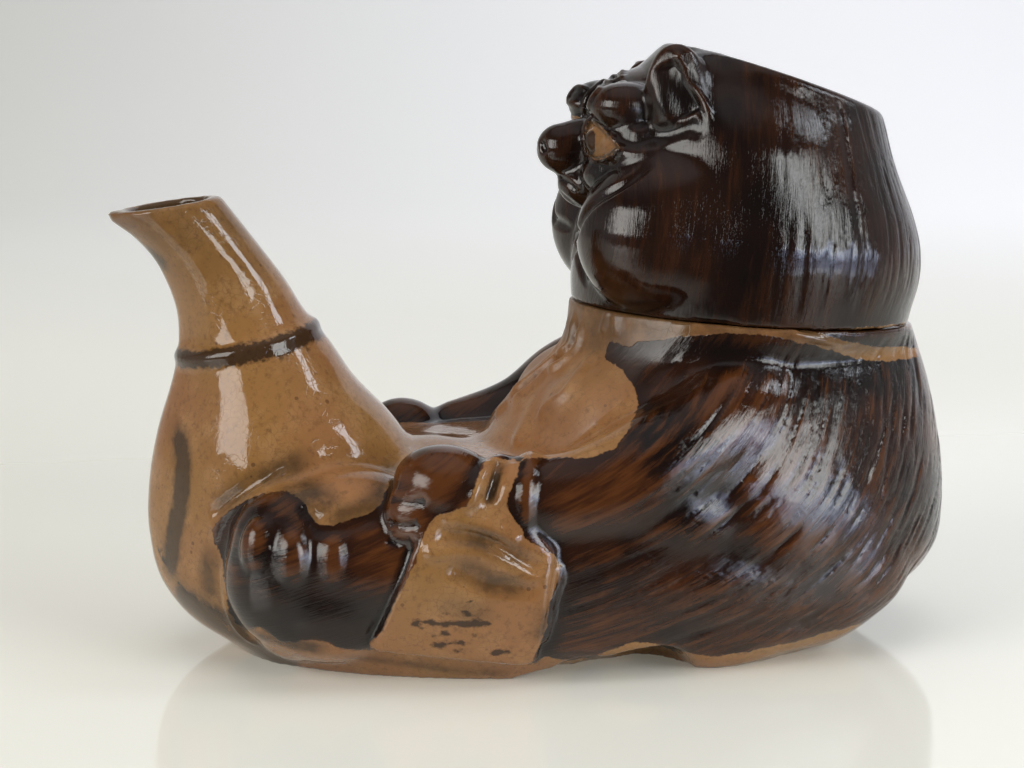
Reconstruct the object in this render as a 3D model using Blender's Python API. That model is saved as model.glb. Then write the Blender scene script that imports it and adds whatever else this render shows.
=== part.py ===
"""Figural sake bottle in glazed stoneware: a seated raccoon dog with a flask between its legs.

The hollow body and the flask are one piece, and the flask's neck pours. The head lifts off as a lid.
X runs from the pouring lip to the back, Y is across, Z is up, and the underside stands on Z = 0.
"""

import math

import bmesh
import bpy
import numpy as np
from mathutils import Euler, Matrix, Vector
from mathutils.bvhtree import BVHTree

# Overall size. Places on the figure are counted in 194ths of its length, and MIDDLE and ASIDE are
# their places along and across it that stand over the origin.
LENGTH = 0.194
SHARE = LENGTH / 194
MIDDLE = -1.0
ASIDE = -1.3

# Walls, bores and fits
BODY_WALL = 0.0050
FLOOR = 0.0055
HEAD_WALL = 0.0045
MOUTH_BORE = 0.0168
RIM_LAND = 0.0050
SEAT_GAP = 0.0003
FLANGE_DEPTH = 0.0080
FLANGE_WALL = 0.0035
FLANGE_CLEARANCE = 0.0010
BOOK_THICKNESS = 0.0030
STRAP_THICKNESS = 0.0022
CORD_WIDTH = 0.0038
FUR_DEPTH = 0.0008
FUR_PITCH = 0.0085

# How finely the clay skin is drawn
VOXEL = 0.0012
BODY_TRIANGLES = 5400
HEAD_TRIANGLES = 2500
BODY_HOLLOW_TRIANGLES = 1000
HEAD_HOLLOW_TRIANGLES = 300
RING_POINTS = 48
RING_STEP = 1.5
SHARP_EDGE = 48

# Colours of the two glazes
BUFF = (0.45, 0.24, 0.11, 1.0)
DARK = (0.035, 0.012, 0.006, 1.0)
GLOSS = 0.12

SIDES = (-1, 1)

# Level sections: height, front, back, half width
BOWL = (
    (-3, -68, 74, 36),
    (0, -71.5, 78.5, 39.5),
    (5, -77.5, 85, 43.5),
    (12, -82, 90.5, 46.5),
    (22, -84, 94.6, 48),
    (33, -80, 95.5, 47.5),
    (41, -64, 94.5, 43),
    (46, -40, 88, 32),
)
TORSO = (
    (3, 30, 76, 26),
    (8, 22, 84, 33),
    (13, 14, 90, 39.5),
    (18, 8, 93.5, 44),
    (30, -6, 95.7, 48.5),
    (40, -12, 95.4, 49),
    (46, -13.5, 94.6, 48.2),
    (52, -9.5, 93.4, 46.6),
    (58, -4, 92, 44.2),
    (64, 2.5, 90.2, 41.4),
    (69, 5.5, 88.4, 38.6),
    (74, 6.4, 86.2, 36.4),
    (82, 6.8, 85.5, 35.6),
)
FLASK = (
    (-3, -69, -42, 20),
    (0, -72, -40, 22),
    (6, -81, -34, 26),
    (14, -87.5, -30, 28.5),
    (26, -90.8, -27, 29.5),
    (39, -90.6, -27, 29),
    (52, -88, -34.5, 26),
    (62, -84.8, -43.8, 20.8),
    (70, -83.2, -49, 17.2),
    (77, -83.4, -54.6, 14.6),
    (84, -85.6, -58.7, 12.9),
    (90, -88.8, -63.1, 12.2),
    (95, -93.6, -66.8, 11.8),
    (99.8, -99.2, -70.4, 11.5),
    (106, -108.5, -75, 11.2),
)
HEAD = (
    (64, 9, 84.5, 34.4),
    (75, 7.5, 86.4, 36.2),
    (82, 7, 88.2, 38),
    (90, 7.5, 88.3, 38.8),
    (97, 9, 86.5, 38),
    (103, 11, 84.2, 36),
    (110, 12.5, 81.6, 33.4),
    (118, 13.5, 79.6, 30.4),
    (125, 15, 77.8, 27.6),
    (131, 22, 76.4, 25.4),
    (140, 32, 74, 22),
)

# Cut planes: a place on the plane (x, z) and its slope towards the back, in degrees
MOUTH_CUT = (-86.0, 101.3, 8.4)
NECK_CUT = (47.0, 75.2, -4.0)
CROWN_CUT = (46.0, 131.4, -18.2)
FOOT_CUT = (0.0, 0.0, 0.0)
SEAT_HEIGHT = NECK_CUT[1]
HEAD_FLOOR = SEAT_HEIGHT + 6
FLANGE_TOP = HEAD_FLOOR + 4
SHOULDER = 76
OVERSHOOT = 25


def spot(x, y, z):
    """A place on the figure, from shares of its length to metres."""
    return Vector((x - MIDDLE, y - ASIDE, z)) * SHARE


def place_of(point):
    """A place in shares of the figure's length, from metres."""
    return (point.x / SHARE + MIDDLE, point.y / SHARE + ASIDE, point.z / SHARE)


def read(rows, height):
    """Front, back and half width at a height, on a smooth curve through the rows."""
    table = np.array(rows, float)
    heights, values = table[:, 0], table[:, 1:]
    slopes = np.gradient(values, heights, axis=0)
    low = int(np.clip(np.searchsorted(heights, height) - 1, 0, len(rows) - 2))
    span = heights[low + 1] - heights[low]
    t = float(np.clip((height - heights[low]) / span, 0, 1))
    ends = (1 + 2 * t) * (1 - t) ** 2 * values[low] + t * t * (3 - 2 * t) * values[low + 1]
    bends = t * (1 - t) ** 2 * slopes[low] + t * t * (t - 1) * slopes[low + 1]
    return ends + span * bends


def height_on(plane, x):
    """Height of a cut plane over a place along the length."""
    return plane[1] + (x - plane[0]) * math.tan(math.radians(plane[2]))


def moved(plane, rise):
    """A cut plane moved square to itself by a real distance."""
    return (plane[0], plane[1] + rise / SHARE / math.cos(math.radians(plane[2])), plane[2])


def ring(front, back, half, height, beak=0.0):
    """One level oval. A beak draws its front out to a point."""
    middle, reach = (front + back) / 2, (back - front) / 2
    points = []
    for step in range(RING_POINTS):
        angle = math.tau * step / RING_POINTS
        x, y = math.cos(angle), math.sin(angle)
        y *= 1 - beak * max(0.0, -x) ** 3
        points.append(spot(middle + reach * x, half * y, height))
    return points


def around(rows, height, angle, lift=0.0):
    """A place on a stack's skin. The angle is in degrees from the front, and rises to the far side."""
    front, back, half = read(rows, height)
    middle, reach = (front + back) / 2, (back - front) / 2 + lift
    turn = math.radians(angle)
    return (middle - reach * math.cos(turn), (half + lift) * math.sin(turn), height)


class Clay:
    """Closed forms that overlap, gathered in one mesh before they become one skin."""

    def __init__(self):
        self.bm = bmesh.new()

    def ball(self, middle, radii, turn=(0, 0, 0)):
        """An ellipsoid, turned by degrees about X, Y and Z."""
        angles = Euler([math.radians(a) for a in turn])
        place = Matrix.LocRotScale(spot(*middle), angles, Vector(radii) * SHARE)
        bmesh.ops.create_uvsphere(self.bm, u_segments=28, v_segments=18, radius=1, matrix=place)

    def pair(self, middle, radii, turn=(0, 0, 0)):
        """The same ellipsoid on both sides. It is placed for the far side."""
        x, y, z = middle
        for side in SIDES:
            self.ball((x, side * y, z), radii, (side * turn[0], turn[1], side * turn[2]))

    def limb(self, places, radii):
        """A round limb of changing thickness along a smooth path, with round ends."""
        curve = bpy.data.curves.new("limb", "CURVE")
        curve.dimensions = "3D"
        curve.bevel_depth = SHARE
        curve.bevel_resolution = 5
        curve.resolution_u = 8
        curve.use_fill_caps = True
        spline = curve.splines.new("BEZIER")
        spline.bezier_points.add(len(places) - 1)
        for point, place, radius in zip(spline.bezier_points, places, radii):
            point.co = spot(*place)
            point.handle_left_type = "AUTO"
            point.handle_right_type = "AUTO"
            point.radius = radius
        guide = bpy.data.objects.new("limb", curve)
        mesh = bpy.data.meshes.new_from_object(guide)
        self.bm.from_mesh(mesh)
        bpy.data.objects.remove(guide)
        bpy.data.curves.remove(curve)
        bpy.data.meshes.remove(mesh)
        for end in (0, -1):
            self.ball(places[end], [radii[end]] * 3)

    def limbs(self, places, radii):
        """The same limb on both sides. It is placed for the far side."""
        for side in SIDES:
            self.limb([(x, side * y, z) for x, y, z in places], radii)

    def loft(self, rings):
        """A skin over rings of points, closed at both ends."""
        loops = [[self.bm.verts.new(point) for point in points] for points in rings]
        self.bm.faces.new(reversed(loops[0]))
        self.bm.faces.new(loops[-1])
        for lower, upper in zip(loops, loops[1:]):
            for i in range(len(lower)):
                j = (i + 1) % len(lower)
                self.bm.faces.new((lower[i], lower[j], upper[j], upper[i]))

    def stack(self, rows, low, high, inset=0.0, beak=0.0):
        """Level sections from one height to another, all drawn in by a wall."""
        wall = inset / SHARE
        rings = []
        for height in np.linspace(low, high, max(2, round((high - low) / RING_STEP) + 1)):
            front, back, half = read(rows, height)
            rings.append(ring(front + wall, back - wall, half - wall, height, beak))
        self.loft(rings)

    def tube(self, rows, height, low, high, inset):
        """An upright oval tube as wide as one section, drawn in by a wall."""
        front, back, half = read(rows, height)
        wall = inset / SHARE
        section = (front + wall, back - wall, half - wall)
        self.loft([ring(*section, low), ring(*section, high)])

    def slab(self, plane, front, back, above):
        """A block on one side of a cut plane, to cut forms with."""
        reach = 90 if above else -90
        corners = []
        for x in (front, back):
            level = height_on(plane, x)
            corners += [(x, y, z) for y in (-80, 80) for z in (level, level + reach)]
        verts = [self.bm.verts.new(spot(*corner)) for corner in corners]
        bmesh.ops.convex_hull(self.bm, input=verts)

    def add(self, obj):
        """Takes a finished object's mesh into the forms, and removes the object."""
        self.bm.from_mesh(obj.data)
        bpy.data.objects.remove(obj)

    def solid(self, name):
        """The forms as they are, as one object."""
        bmesh.ops.recalc_face_normals(self.bm, faces=self.bm.faces)
        mesh = bpy.data.meshes.new(name)
        self.bm.to_mesh(mesh)
        self.bm.free()
        obj = bpy.data.objects.new(name, mesh)
        bpy.context.scene.collection.objects.link(obj)
        return obj

    def skin(self, name, rounds):
        """One closed skin over all the forms, with its creases softened."""
        obj = self.solid(name)
        remesh = obj.modifiers.new("Skin", "REMESH")
        remesh.mode = "VOXEL"
        remesh.voxel_size = VOXEL
        soften = obj.modifiers.new("Soften", "SMOOTH")
        soften.factor = 0.5
        soften.iterations = rounds
        return applied(obj)


def applied(obj):
    """The object with its modifiers worked into its mesh."""
    graph = bpy.context.evaluated_depsgraph_get()
    graph.update()
    mesh = bpy.data.meshes.new_from_object(obj.evaluated_get(graph), depsgraph=graph)
    obj.modifiers.clear()
    old, obj.data = obj.data, mesh
    bpy.data.meshes.remove(old)
    return obj


def thinned(obj, triangles):
    """The object with fewer triangles, kept where the form turns most."""
    obj.data.calc_loop_triangles()
    decimate = obj.modifiers.new("Thin", "DECIMATE")
    decimate.ratio = min(1.0, triangles / len(obj.data.loop_triangles))
    decimate.use_collapse_triangulate = True
    return applied(obj)


def cut(obj, cutter):
    """Takes the space that the cutter fills out of the object."""
    boolean = obj.modifiers.new("Cut", "BOOLEAN")
    boolean.operation = "DIFFERENCE"
    boolean.solver = "EXACT"
    boolean.object = cutter
    applied(obj)
    bpy.data.objects.remove(cutter)


def joined(obj, other):
    """The object with the other one grown into it."""
    boolean = obj.modifiers.new("Join", "BOOLEAN")
    boolean.operation = "UNION"
    boolean.solver = "EXACT"
    boolean.object = other
    applied(obj)
    bpy.data.objects.remove(other)
    return obj


def cut_flat(obj, plane, front, back, above):
    """Cuts the object flat by a plane, between two places along the length."""
    clay = Clay()
    clay.slab(plane, front, back, above)
    cut(obj, clay.solid("slab"))


def tree_of(obj):
    """The object's skin, for finding places on it."""
    vertices = [v.co for v in obj.data.vertices]
    return BVHTree.FromPolygons(vertices, [p.vertices for p in obj.data.polygons])


def laid_on(clay, base, corners, crown, thickness, grid=(14, 12)):
    """A smooth sheet of named thickness between four corners (x, z), laid on the near side of the base.

    The corners go round from low left, and the crown is how far the upper edge swells.
    """
    tree = tree_of(base)
    low_left, low_right, high_right, high_left = [spot(x, 0, z) for x, z in corners]
    columns, rows = grid
    places, terms, known, depths = [], [], [], []
    for r in range(rows + 1):
        v = r / rows
        left, right = low_left.lerp(high_left, v), low_right.lerp(high_right, v)
        for c in range(columns + 1):
            u = c / columns
            place = left.lerp(right, u)
            place.z += crown * SHARE * 4 * u * (1 - u) * v * v
            hit = tree.ray_cast(Vector((place.x, -LENGTH, place.z)), Vector((0, 1, 0)))[0]
            if hit:
                known.append(len(places))
                depths.append(hit.y)
            places.append(place)
            terms.append((1, u, v, u * v, u * u, v * v))
    terms = np.array(terms)
    curve = np.linalg.lstsq(terms[known], np.array(depths), rcond=None)[0]
    fronts, backs = [], []
    for place, depth in zip(places, terms @ curve):
        fronts.append(clay.bm.verts.new((place.x, depth - thickness, place.z)))
        backs.append(clay.bm.verts.new((place.x, depth + 2 * thickness, place.z)))
    width = columns + 1
    for r in range(rows):
        for c in range(columns):
            i = r * width + c
            square = (i, i + 1, i + width + 1, i + width)
            clay.bm.faces.new([fronts[k] for k in square])
            clay.bm.faces.new([backs[k] for k in reversed(square)])
    edge = list(range(columns))
    edge += [r * width + columns for r in range(rows)]
    edge += [rows * width + c for c in range(columns, 0, -1)]
    edge += [r * width for r in range(rows, 0, -1)]
    for i, j in zip(edge, edge[1:] + edge[:1]):
        clay.bm.faces.new((fronts[j], fronts[i], backs[i], backs[j]))


def settled(tree, places, lift=0.0):
    """The places moved onto the skin, and off it by a lift in shares of the length."""
    found = []
    for place in places:
        point, normal = tree.find_nearest(spot(*place))[:2]
        found.append(place_of(point + normal * lift * SHARE))
    return found


def comb(obj, rows, region, lean):
    """Presses combed fur grooves into the skin. They climb at the lean (degrees) that a height gives."""
    mesh = obj.data
    count = len(mesh.vertices)
    places, normals = np.empty(count * 3, np.float32), np.empty(count * 3, np.float32)
    mesh.vertices.foreach_get("co", places)
    mesh.vertices.foreach_get("normal", normals)
    places, normals = places.reshape(-1, 3), normals.reshape(-1, 3)
    x, y, z = (places / SHARE).T
    x, y = x + MIDDLE, y + ASIDE
    front, back, half = read(rows, (rows[0][0] + rows[-1][0]) / 2)
    turn = np.arctan2(np.abs(y), x - (front + back) / 2)
    along = -turn * (half + (back - front) / 2) / 2
    low, high = lean
    angle = np.radians(low + (high - low) * np.clip(z / SHOULDER, 0, 1))
    climb = z / math.tan(math.radians(low))
    if high != low:
        climb = SHOULDER / math.radians(high - low) * np.log(np.sin(angle))
    phase = (along - climb) * np.sin(angle) * SHARE / FUR_PITCH
    wander = 0.45 * np.sin(along * 0.05 + z * 0.07) + 0.12 * np.sin(along * 0.17 - z * 0.11)
    locks = 0.55 + 0.45 * np.sin(along * 0.16 + z * 0.1 + 2.1 * np.floor(phase + wander + 0.5))
    groove = (0.5 + 0.5 * np.cos(math.tau * (phase + wander))) ** 2 * locks
    places -= normals * (FUR_DEPTH * groove * region(x, y, z))[:, None]
    mesh.vertices.foreach_set("co", places.reshape(-1))
    mesh.update()


def ramp(value, start, end):
    """Rises smoothly from 0 at the start to 1 at the end."""
    t = np.clip((value - start) / (end - start), 0, 1)
    return t * t * (3 - 2 * t)


def body_fur(x, y, z):
    """Where the trunk, the upper arms and the haunches carry fur."""
    side = ramp(x, 6, 20) * ramp(z, 7, 13) * ramp(-z, -72, -66)
    belly = ramp(-x, -26, -14) * ramp(z, 44, 50) * ramp(-np.abs(y), -42, -36)
    return side * (1 - belly)


def head_fur(x, y, z):
    """Where the head carries fur: behind the face, under the crown."""
    return ramp(x, 32, 46) * ramp(z, 78, 84) * ramp(height_on(CROWN_CUT, x) - z, 1, 6)


def add_legs(clay):
    """Haunches, and legs stretched forward round the flask to upright feet."""
    places = [(60, 22, 22), (38, 27, 22), (8, 30, 22), (-24, 30, 24), (-50, 28, 26)]
    clay.limbs(places, [23, 21, 17.5, 17.5, 17])
    clay.limbs([(-58, 25, 14), (-60.5, 29.5, 22), (-59.5, 29.5, 30)], [11.5, 14.2, 13.6])
    clay.pair((-51, 27.5, 18), (19, 17, 15))
    clay.pair((24, 30, 36), (34, 19.5, 15))
    clay.pair((-47, 28, 33), (18, 14.5, 13))


def add_arms(clay):
    """The near arm, whose wrist carries the strap, and the far arm, whose hand rests on the knee."""
    near = [(60, -20, 56), (42, -32, 56), (22, -38, 47.5), (2, -40.5, 41), (-14, -41, 41)]
    clay.limb(near, [12, 14.5, 13, 10.5, 8.8])
    clay.ball((-27, -39.5, 43.5), (12, 10.5, 9), (0, 12, 0))
    far = [(58, 20, 56), (40, 32, 58), (16, 37.5, 54), (0, 37, 45.5), (-16, 34, 42)]
    clay.limb(far, [12, 14, 11.5, 9, 7.5])
    clay.ball((-29, 31, 43.5), (9.5, 8.5, 7.5), (0, 10, 0))


def body_masses():
    """The large forms: bowl of the seat, trunk, flask, lap, limbs and belly."""
    clay = Clay()
    clay.stack(BOWL, -3, 46)
    clay.stack(TORSO, 3, 82)
    clay.stack(FLASK, -3, 106, beak=0.45)
    clay.ball((-28, 0, 28), (34, 30, 19))
    clay.pair((12, 16, 50), (18.5, 18, 16))
    add_legs(clay)
    add_arms(clay)
    return clay.skin("bottle_body", 9)


def add_toes(clay, tree):
    """Three knuckles side by side on each foot, and the near hand's fingers."""
    for side in SIDES:
        for x, y, z, size in ((-68.6, 38.2, 32.5, 4.4), (-62, 41.2, 31, 4.6), (-54.4, 42, 30.6, 5)):
            clay.ball((x, side * y, z), (size * 0.9, size, size * 1.25))
    for shift in (0, 5):
        knuckles = [(-27 + shift, -48, 45), (-33 + shift, -49, 41.5), (-37 + shift, -49, 37)]
        clay.limb(settled(tree, knuckles, -1.2), [2.4, 2.8, 2.4])


def add_book(clay, masses, tree):
    """The account book at the wrist, and the strap of two cords that it hangs on."""
    corners = ((-43.5, 8.5), (-9, 4.5), (-5.5, 31), (-33.5, 36))
    laid_on(clay, masses, corners, 7.5, BOOK_THICKNESS)
    radius = STRAP_THICKNESS / SHARE
    over = [(-11, -33, 50), (-13, -41, 50), (-15.4, -46, 47), (-17.6, -49, 43), (-19, -50, 38)]
    for shift, spread in ((-2.3, -1.2), (0, 0), (2.3, 1.2)):
        places = [(x + shift + spread * i, y, z) for i, (x, y, z) in enumerate(over)]
        sunk = 0.4 if shift else 0.9
        clay.limb(settled(tree, places, -sunk * radius), [radius] * len(places))


def add_cord(clay):
    """The raised band where the flask's cord is tied, lower at the front than at the back."""
    radius = CORD_WIDTH / 2 / SHARE
    turns = []
    for angle in range(0, 361, 15):
        height = 70.3 - 3.2 * math.cos(math.radians(angle))
        turns.append(around(FLASK, height, angle, -0.62 * radius))
    clay.limb(turns, [radius] * len(turns))


def body_details(masses):
    """Book, strap, toes, folds and the flask's cord, worked onto the large forms."""
    clay = Clay()
    tree = tree_of(masses)
    add_book(clay, masses, tree)
    add_toes(clay, tree)
    add_cord(clay)
    for angle, low in ((2, 52), (-17, 49), (18, 48)):
        heights = np.linspace(74, low, 7)
        folds = [around(TORSO, h, angle * (74 - h) / 20, -0.6) for h in heights]
        clay.limb(folds, [1.3] * 6 + [2.0])
    clay.add(masses)
    return clay.skin("bottle_body", 2)


def socket_floor():
    """The height down to which the neck keeps its bore, clear of the head's flange."""
    back = read(TORSO, SEAT_HEIGHT)[1]
    return height_on(moved(NECK_CUT, -FLANGE_DEPTH - FLANGE_CLEARANCE), back)


def body_hollow():
    """The inside of trunk, seat and flask, open at the neck and at the pouring mouth."""
    clay = Clay()
    floor = FLOOR / SHARE
    clay.stack(BOWL, floor, 36, BODY_WALL)
    clay.stack(TORSO, floor, 82, BODY_WALL)
    clay.stack(FLASK, floor, 74, BODY_WALL)
    top = height_on(MOUTH_CUT, -86)
    bore = MOUTH_BORE / 2 / SHARE
    clay.limb([(-66, 0, 66), (-73.4, 0, 84), (-81, 0, 95), (-85, 0, top), (-89, 0, top + 9)], [bore] * 5)
    return thinned(clay.skin("hollow", 3), BODY_HOLLOW_TRIANGLES)


def build_body():
    """The hollow body with the flask, feet, strap and account book."""
    body = body_details(body_masses())
    comb(body, TORSO, body_fur, (18, 56))
    for middle, radii in (((17.5, 46, -1), (12, 22, 8.6)), ((12, 46, -3), (19, 22, 7.4))):
        clay = Clay()
        clay.pair(middle, radii)
        cut(body, clay.solid("arch"))
    body = thinned(body, BODY_TRIANGLES)
    cut_flat(body, FOOT_CUT, -120, 120, above=False)
    cut_flat(body, NECK_CUT, -30, 120, above=True)
    cut_flat(body, MOUTH_CUT, -130, -40, above=True)
    cut(body, body_hollow())
    clay = Clay()
    clay.tube(TORSO, SEAT_HEIGHT, socket_floor(), SEAT_HEIGHT + OVERSHOOT, RIM_LAND)
    cut(body, clay.solid("neck"))
    return body


def head_details(barrel):
    """Face, cheeks and ears, worked onto the barrel of the head."""
    clay = Clay()
    clay.add(barrel)
    clay.limb([(18, 0, 113.4), (9.5, 0, 113.6), (4.2, 0, 113)], [8, 6.4, 5.7])
    clay.ball((11.5, 0, 104.5), (9.6, 8.5, 6.6))
    clay.pair((17.2, 12.5, 122.2), (9.2, 8, 6), (0, 6, -20))
    clay.ball((24, 0, 122), (12.5, 17, 9.5), (0, -14, 0))
    clay.pair((13.2, 10, 115), (5, 5, 4.6))
    clay.pair((19, 13.5, 112.8), (9, 11.5, 7.6))
    clay.pair((16, 11, 108), (9, 9, 6))
    for side, cheek, ear, down in ((-1, 0, 0, 0), (1, 0.8, 2.5, 3.5)):
        clay.ball((24 + cheek, side * 18.5, 93), (19.5, 18, 19))
        clay.ball((34 + ear, side * 15, 126 - down), (11, 9, 9))
        clay.ball((26.5 + ear, side * 21.5, 125.5 - down), (6.5, 4.6, 10.5), (0, 6, 0))
        clay.ball((28 + ear, side * 20, 118 - down), (6, 7, 7))
        front_edge = [(21.8, 19.5, 122), (21.6, 20.5, 129), (26, 21.5, 134.4)]
        helix = front_edge + [(29.4, 24, 128), (32, 26, 121), (31, 27, 115.5)]
        clay.limb([(x + ear, side * y, z - down) for x, y, z in helix], [1.8, 2, 2.1, 2, 1.9, 1.6])
    brim = [(30.5, 27, 115), (26.5, 25.4, 116.8), (21.8, 22.6, 116), (16.6, 19, 112.6), (11.4, 14.5, 109.6)]
    clay.limbs(brim, [1.6, 1.9, 2.1, 2, 1.6])
    return clay.skin("head_lid", 2)


def flange():
    """The upright collar under the head that keeps it in the neck."""
    clay = Clay()
    clay.tube(TORSO, SEAT_HEIGHT, SEAT_HEIGHT - OVERSHOOT, FLANGE_TOP, RIM_LAND + FLANGE_CLEARANCE)
    collar = clay.solid("flange")
    cut_flat(collar, moved(NECK_CUT, -FLANGE_DEPTH), -60, 160, above=False)
    return collar


def head_hollow():
    """The inside of the head, under the crown, with the way in through the flange."""
    clay = Clay()
    clay.stack(HEAD, HEAD_FLOOR, 140, HEAD_WALL)
    hollow = clay.solid("hollow")
    cut_flat(hollow, moved(CROWN_CUT, -HEAD_WALL), -60, 160, above=True)
    hollow = thinned(hollow, HEAD_HOLLOW_TRIANGLES)
    clay = Clay()
    inset = RIM_LAND + FLANGE_CLEARANCE + FLANGE_WALL
    clay.tube(TORSO, SEAT_HEIGHT, SEAT_HEIGHT - OVERSHOOT, FLANGE_TOP, inset)
    return joined(hollow, clay.solid("way"))


def build_head():
    """The hollow head with its locating flange."""
    clay = Clay()
    clay.stack(HEAD, 64, 140)
    barrel = clay.solid("head_lid")
    cut_flat(barrel, CROWN_CUT, -30, 120, above=True)
    clay = Clay()
    clay.add(barrel)
    head = head_details(clay.skin("head_lid", 5))
    comb(head, HEAD, head_fur, (84, 84))
    head = thinned(head, HEAD_TRIANGLES)
    cut_flat(head, moved(NECK_CUT, SEAT_GAP), -60, 160, above=False)
    head = joined(head, flange())
    cut(head, head_hollow())
    return head


def glaze(name, colour, roughness):
    """A glossy glaze."""
    material = bpy.data.materials.new(name)
    material.use_nodes = True
    shader = material.node_tree.nodes["Principled BSDF"]
    shader.inputs["Base Color"].default_value = colour
    shader.inputs["Roughness"].default_value = roughness
    shader.inputs["Metallic"].default_value = 0.0
    material.diffuse_color = colour
    return material


def is_buff(place):
    """Whether the body's skin is left in buff glaze: flask, belly, book, neck and foot rim."""
    x, y, z = place
    flask = x < -30 and ((x + 60) / 32) ** 2 + (y / 22) ** 2 < 1
    belly = x < 16 and abs(y) < 30 and z > 36
    book = y < -44 and -44 < x < -5 and 5 < z < 42
    neck = z > height_on(NECK_CUT, x) - 3
    return flask or belly or book or neck or z < 4


def dressed(obj, materials, buff=None):
    """Gives the object its glazes and its shading."""
    for material in materials:
        obj.data.materials.append(material)
    for face in obj.data.polygons:
        face.material_index = int(buff(place_of(face.center))) if buff else 0
    obj.data.shade_smooth()
    obj.data.set_sharp_from_angle(angle=math.radians(SHARP_EDGE))


def main():
    """Clears the scene and models the two pieces."""
    for obj in list(bpy.data.objects):
        bpy.data.objects.remove(obj)
    dark = glaze("dark_glaze", DARK, GLOSS)
    buff = glaze("buff_glaze", BUFF, GLOSS)
    dressed(build_body(), [dark, buff], is_buff)
    dressed(build_head(), [dark])


main()
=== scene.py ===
"""Looks of a figural sake bottle: a seated raccoon dog with a flask between its legs.

The body with its flask and the lift-off head are each one glazed piece that stands for its CAD node.
Places are in figure millimetres: X from the pouring lip to the back, Y across, Z up from the table.
"""

import logging
import math
from dataclasses import dataclass, field
from enum import Enum
from typing import Optional, Sequence, Union

import bmesh
import bpy
import numpy as np
from mathutils import Euler, Matrix, Vector
from mathutils.bvhtree import BVHTree


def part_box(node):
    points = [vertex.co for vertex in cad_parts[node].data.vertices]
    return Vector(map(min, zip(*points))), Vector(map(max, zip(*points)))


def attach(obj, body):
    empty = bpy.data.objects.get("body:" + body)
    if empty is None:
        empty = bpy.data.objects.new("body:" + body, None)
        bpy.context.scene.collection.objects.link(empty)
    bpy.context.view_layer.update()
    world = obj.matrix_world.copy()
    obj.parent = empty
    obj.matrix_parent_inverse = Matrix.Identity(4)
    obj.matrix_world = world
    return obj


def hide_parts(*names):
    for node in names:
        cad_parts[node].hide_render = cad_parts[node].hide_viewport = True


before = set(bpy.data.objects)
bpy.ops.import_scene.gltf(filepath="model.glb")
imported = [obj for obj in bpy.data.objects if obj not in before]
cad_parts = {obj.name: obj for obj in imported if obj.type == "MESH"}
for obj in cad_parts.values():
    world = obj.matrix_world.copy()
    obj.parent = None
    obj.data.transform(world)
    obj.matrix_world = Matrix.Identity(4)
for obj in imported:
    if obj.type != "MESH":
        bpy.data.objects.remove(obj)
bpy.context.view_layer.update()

LOG = logging.getLogger("sake_bottle")

# The figure is 194.2 of its own millimetres long, and this is one of them in metres.
FIGURE_LENGTH = 194.2
UNIT = (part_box("bottle_body")[1].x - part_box("bottle_body")[0].x) / FIGURE_LENGTH
# Where the part's origin stands in figure millimetres
MIDDLE = -1.0
ASIDE = -1.3
ORIGIN = np.array([MIDDLE, ASIDE, 0])
MIRROR = np.array([1, -1, 1])
SIDES = (-1, 1)
NEAR = (-1,)
RING_POINTS = 64
RING_STEP = 1.5
LONGEST_EDGE = 3.5
SPLIT_ROUNDS = 6
RELIEF_ROUNDS = 8

Place = Sequence[float]
Row = Sequence[float]
Measure = Union[float, np.ndarray]
Feed = Union[bpy.types.NodeSocket, float, Place]

# Level sections: height, front, back, half width
BOWL = (
    (-3, -68, 74, 36), (0, -71.5, 78.5, 39.5), (5, -77.5, 85, 43.5), (12, -82, 90.5, 46.5),
    (22, -84, 94.6, 48), (33, -80, 95.5, 47.5), (41, -64, 94.5, 43), (46, -40, 88, 32),
)
TORSO = (
    (3, 30, 76, 26), (8, 22, 84, 33), (13, 14, 90, 39.5), (18, 8, 93.5, 44), (30, -6, 95.7, 48.5),
    (40, -12, 95.4, 49), (46, -13.5, 94.6, 48.2), (52, -9.5, 93.4, 46.6), (58, -4, 92, 44.2),
    (64, 2.5, 90.2, 41.4), (69, 5.5, 88.4, 38.6), (74, 6.4, 86.2, 36.4), (82, 6.8, 85.5, 35.6),
)
FLASK = (
    (-3, -69, -42, 20), (0, -72, -40, 22), (6, -81, -34, 26), (14, -87.5, -30, 28.5),
    (26, -90.8, -27, 29.5), (39, -90.6, -27, 29), (52, -88, -34.5, 26), (62, -84.8, -43.8, 20.8),
    (70, -83.2, -49, 17.2), (77, -83.4, -54.6, 14.6), (84, -85.6, -58.7, 12.9), (90, -88.8, -63.1, 12.2),
    (95, -93.6, -66.8, 11.8), (99.8, -99.2, -70.4, 11.5), (106, -108.5, -75, 11.2),
)
HEAD = (
    (64, 9, 84.5, 34.4), (75, 7.5, 86.4, 36.2), (82, 7, 88.2, 38), (90, 7.5, 88.3, 38.8),
    (97, 9, 86.5, 38), (103, 11, 84.2, 36), (110, 12.5, 81.6, 33.4), (118, 13.5, 79.6, 30.4),
    (125, 15, 77.8, 27.6), (131, 22, 76.4, 25.4), (140, 32, 74, 22),
)

# Cut planes: a place on the plane (x, z) and its slope towards the back, in degrees
MOUTH_CUT = (-86.0, 101.3, 8.4)
NECK_CUT = (47.0, 75.2, -4.0)
CROWN_CUT = (46.0, 131.4, -18.2)
FOOT_CUT = (0.0, 0.0, 0.0)
SEAT_HEIGHT = NECK_CUT[1]
OVERSHOOT = 25
# How far above the seat the flange reaches into the head's clay
FLANGE_ROOT = 10
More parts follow.
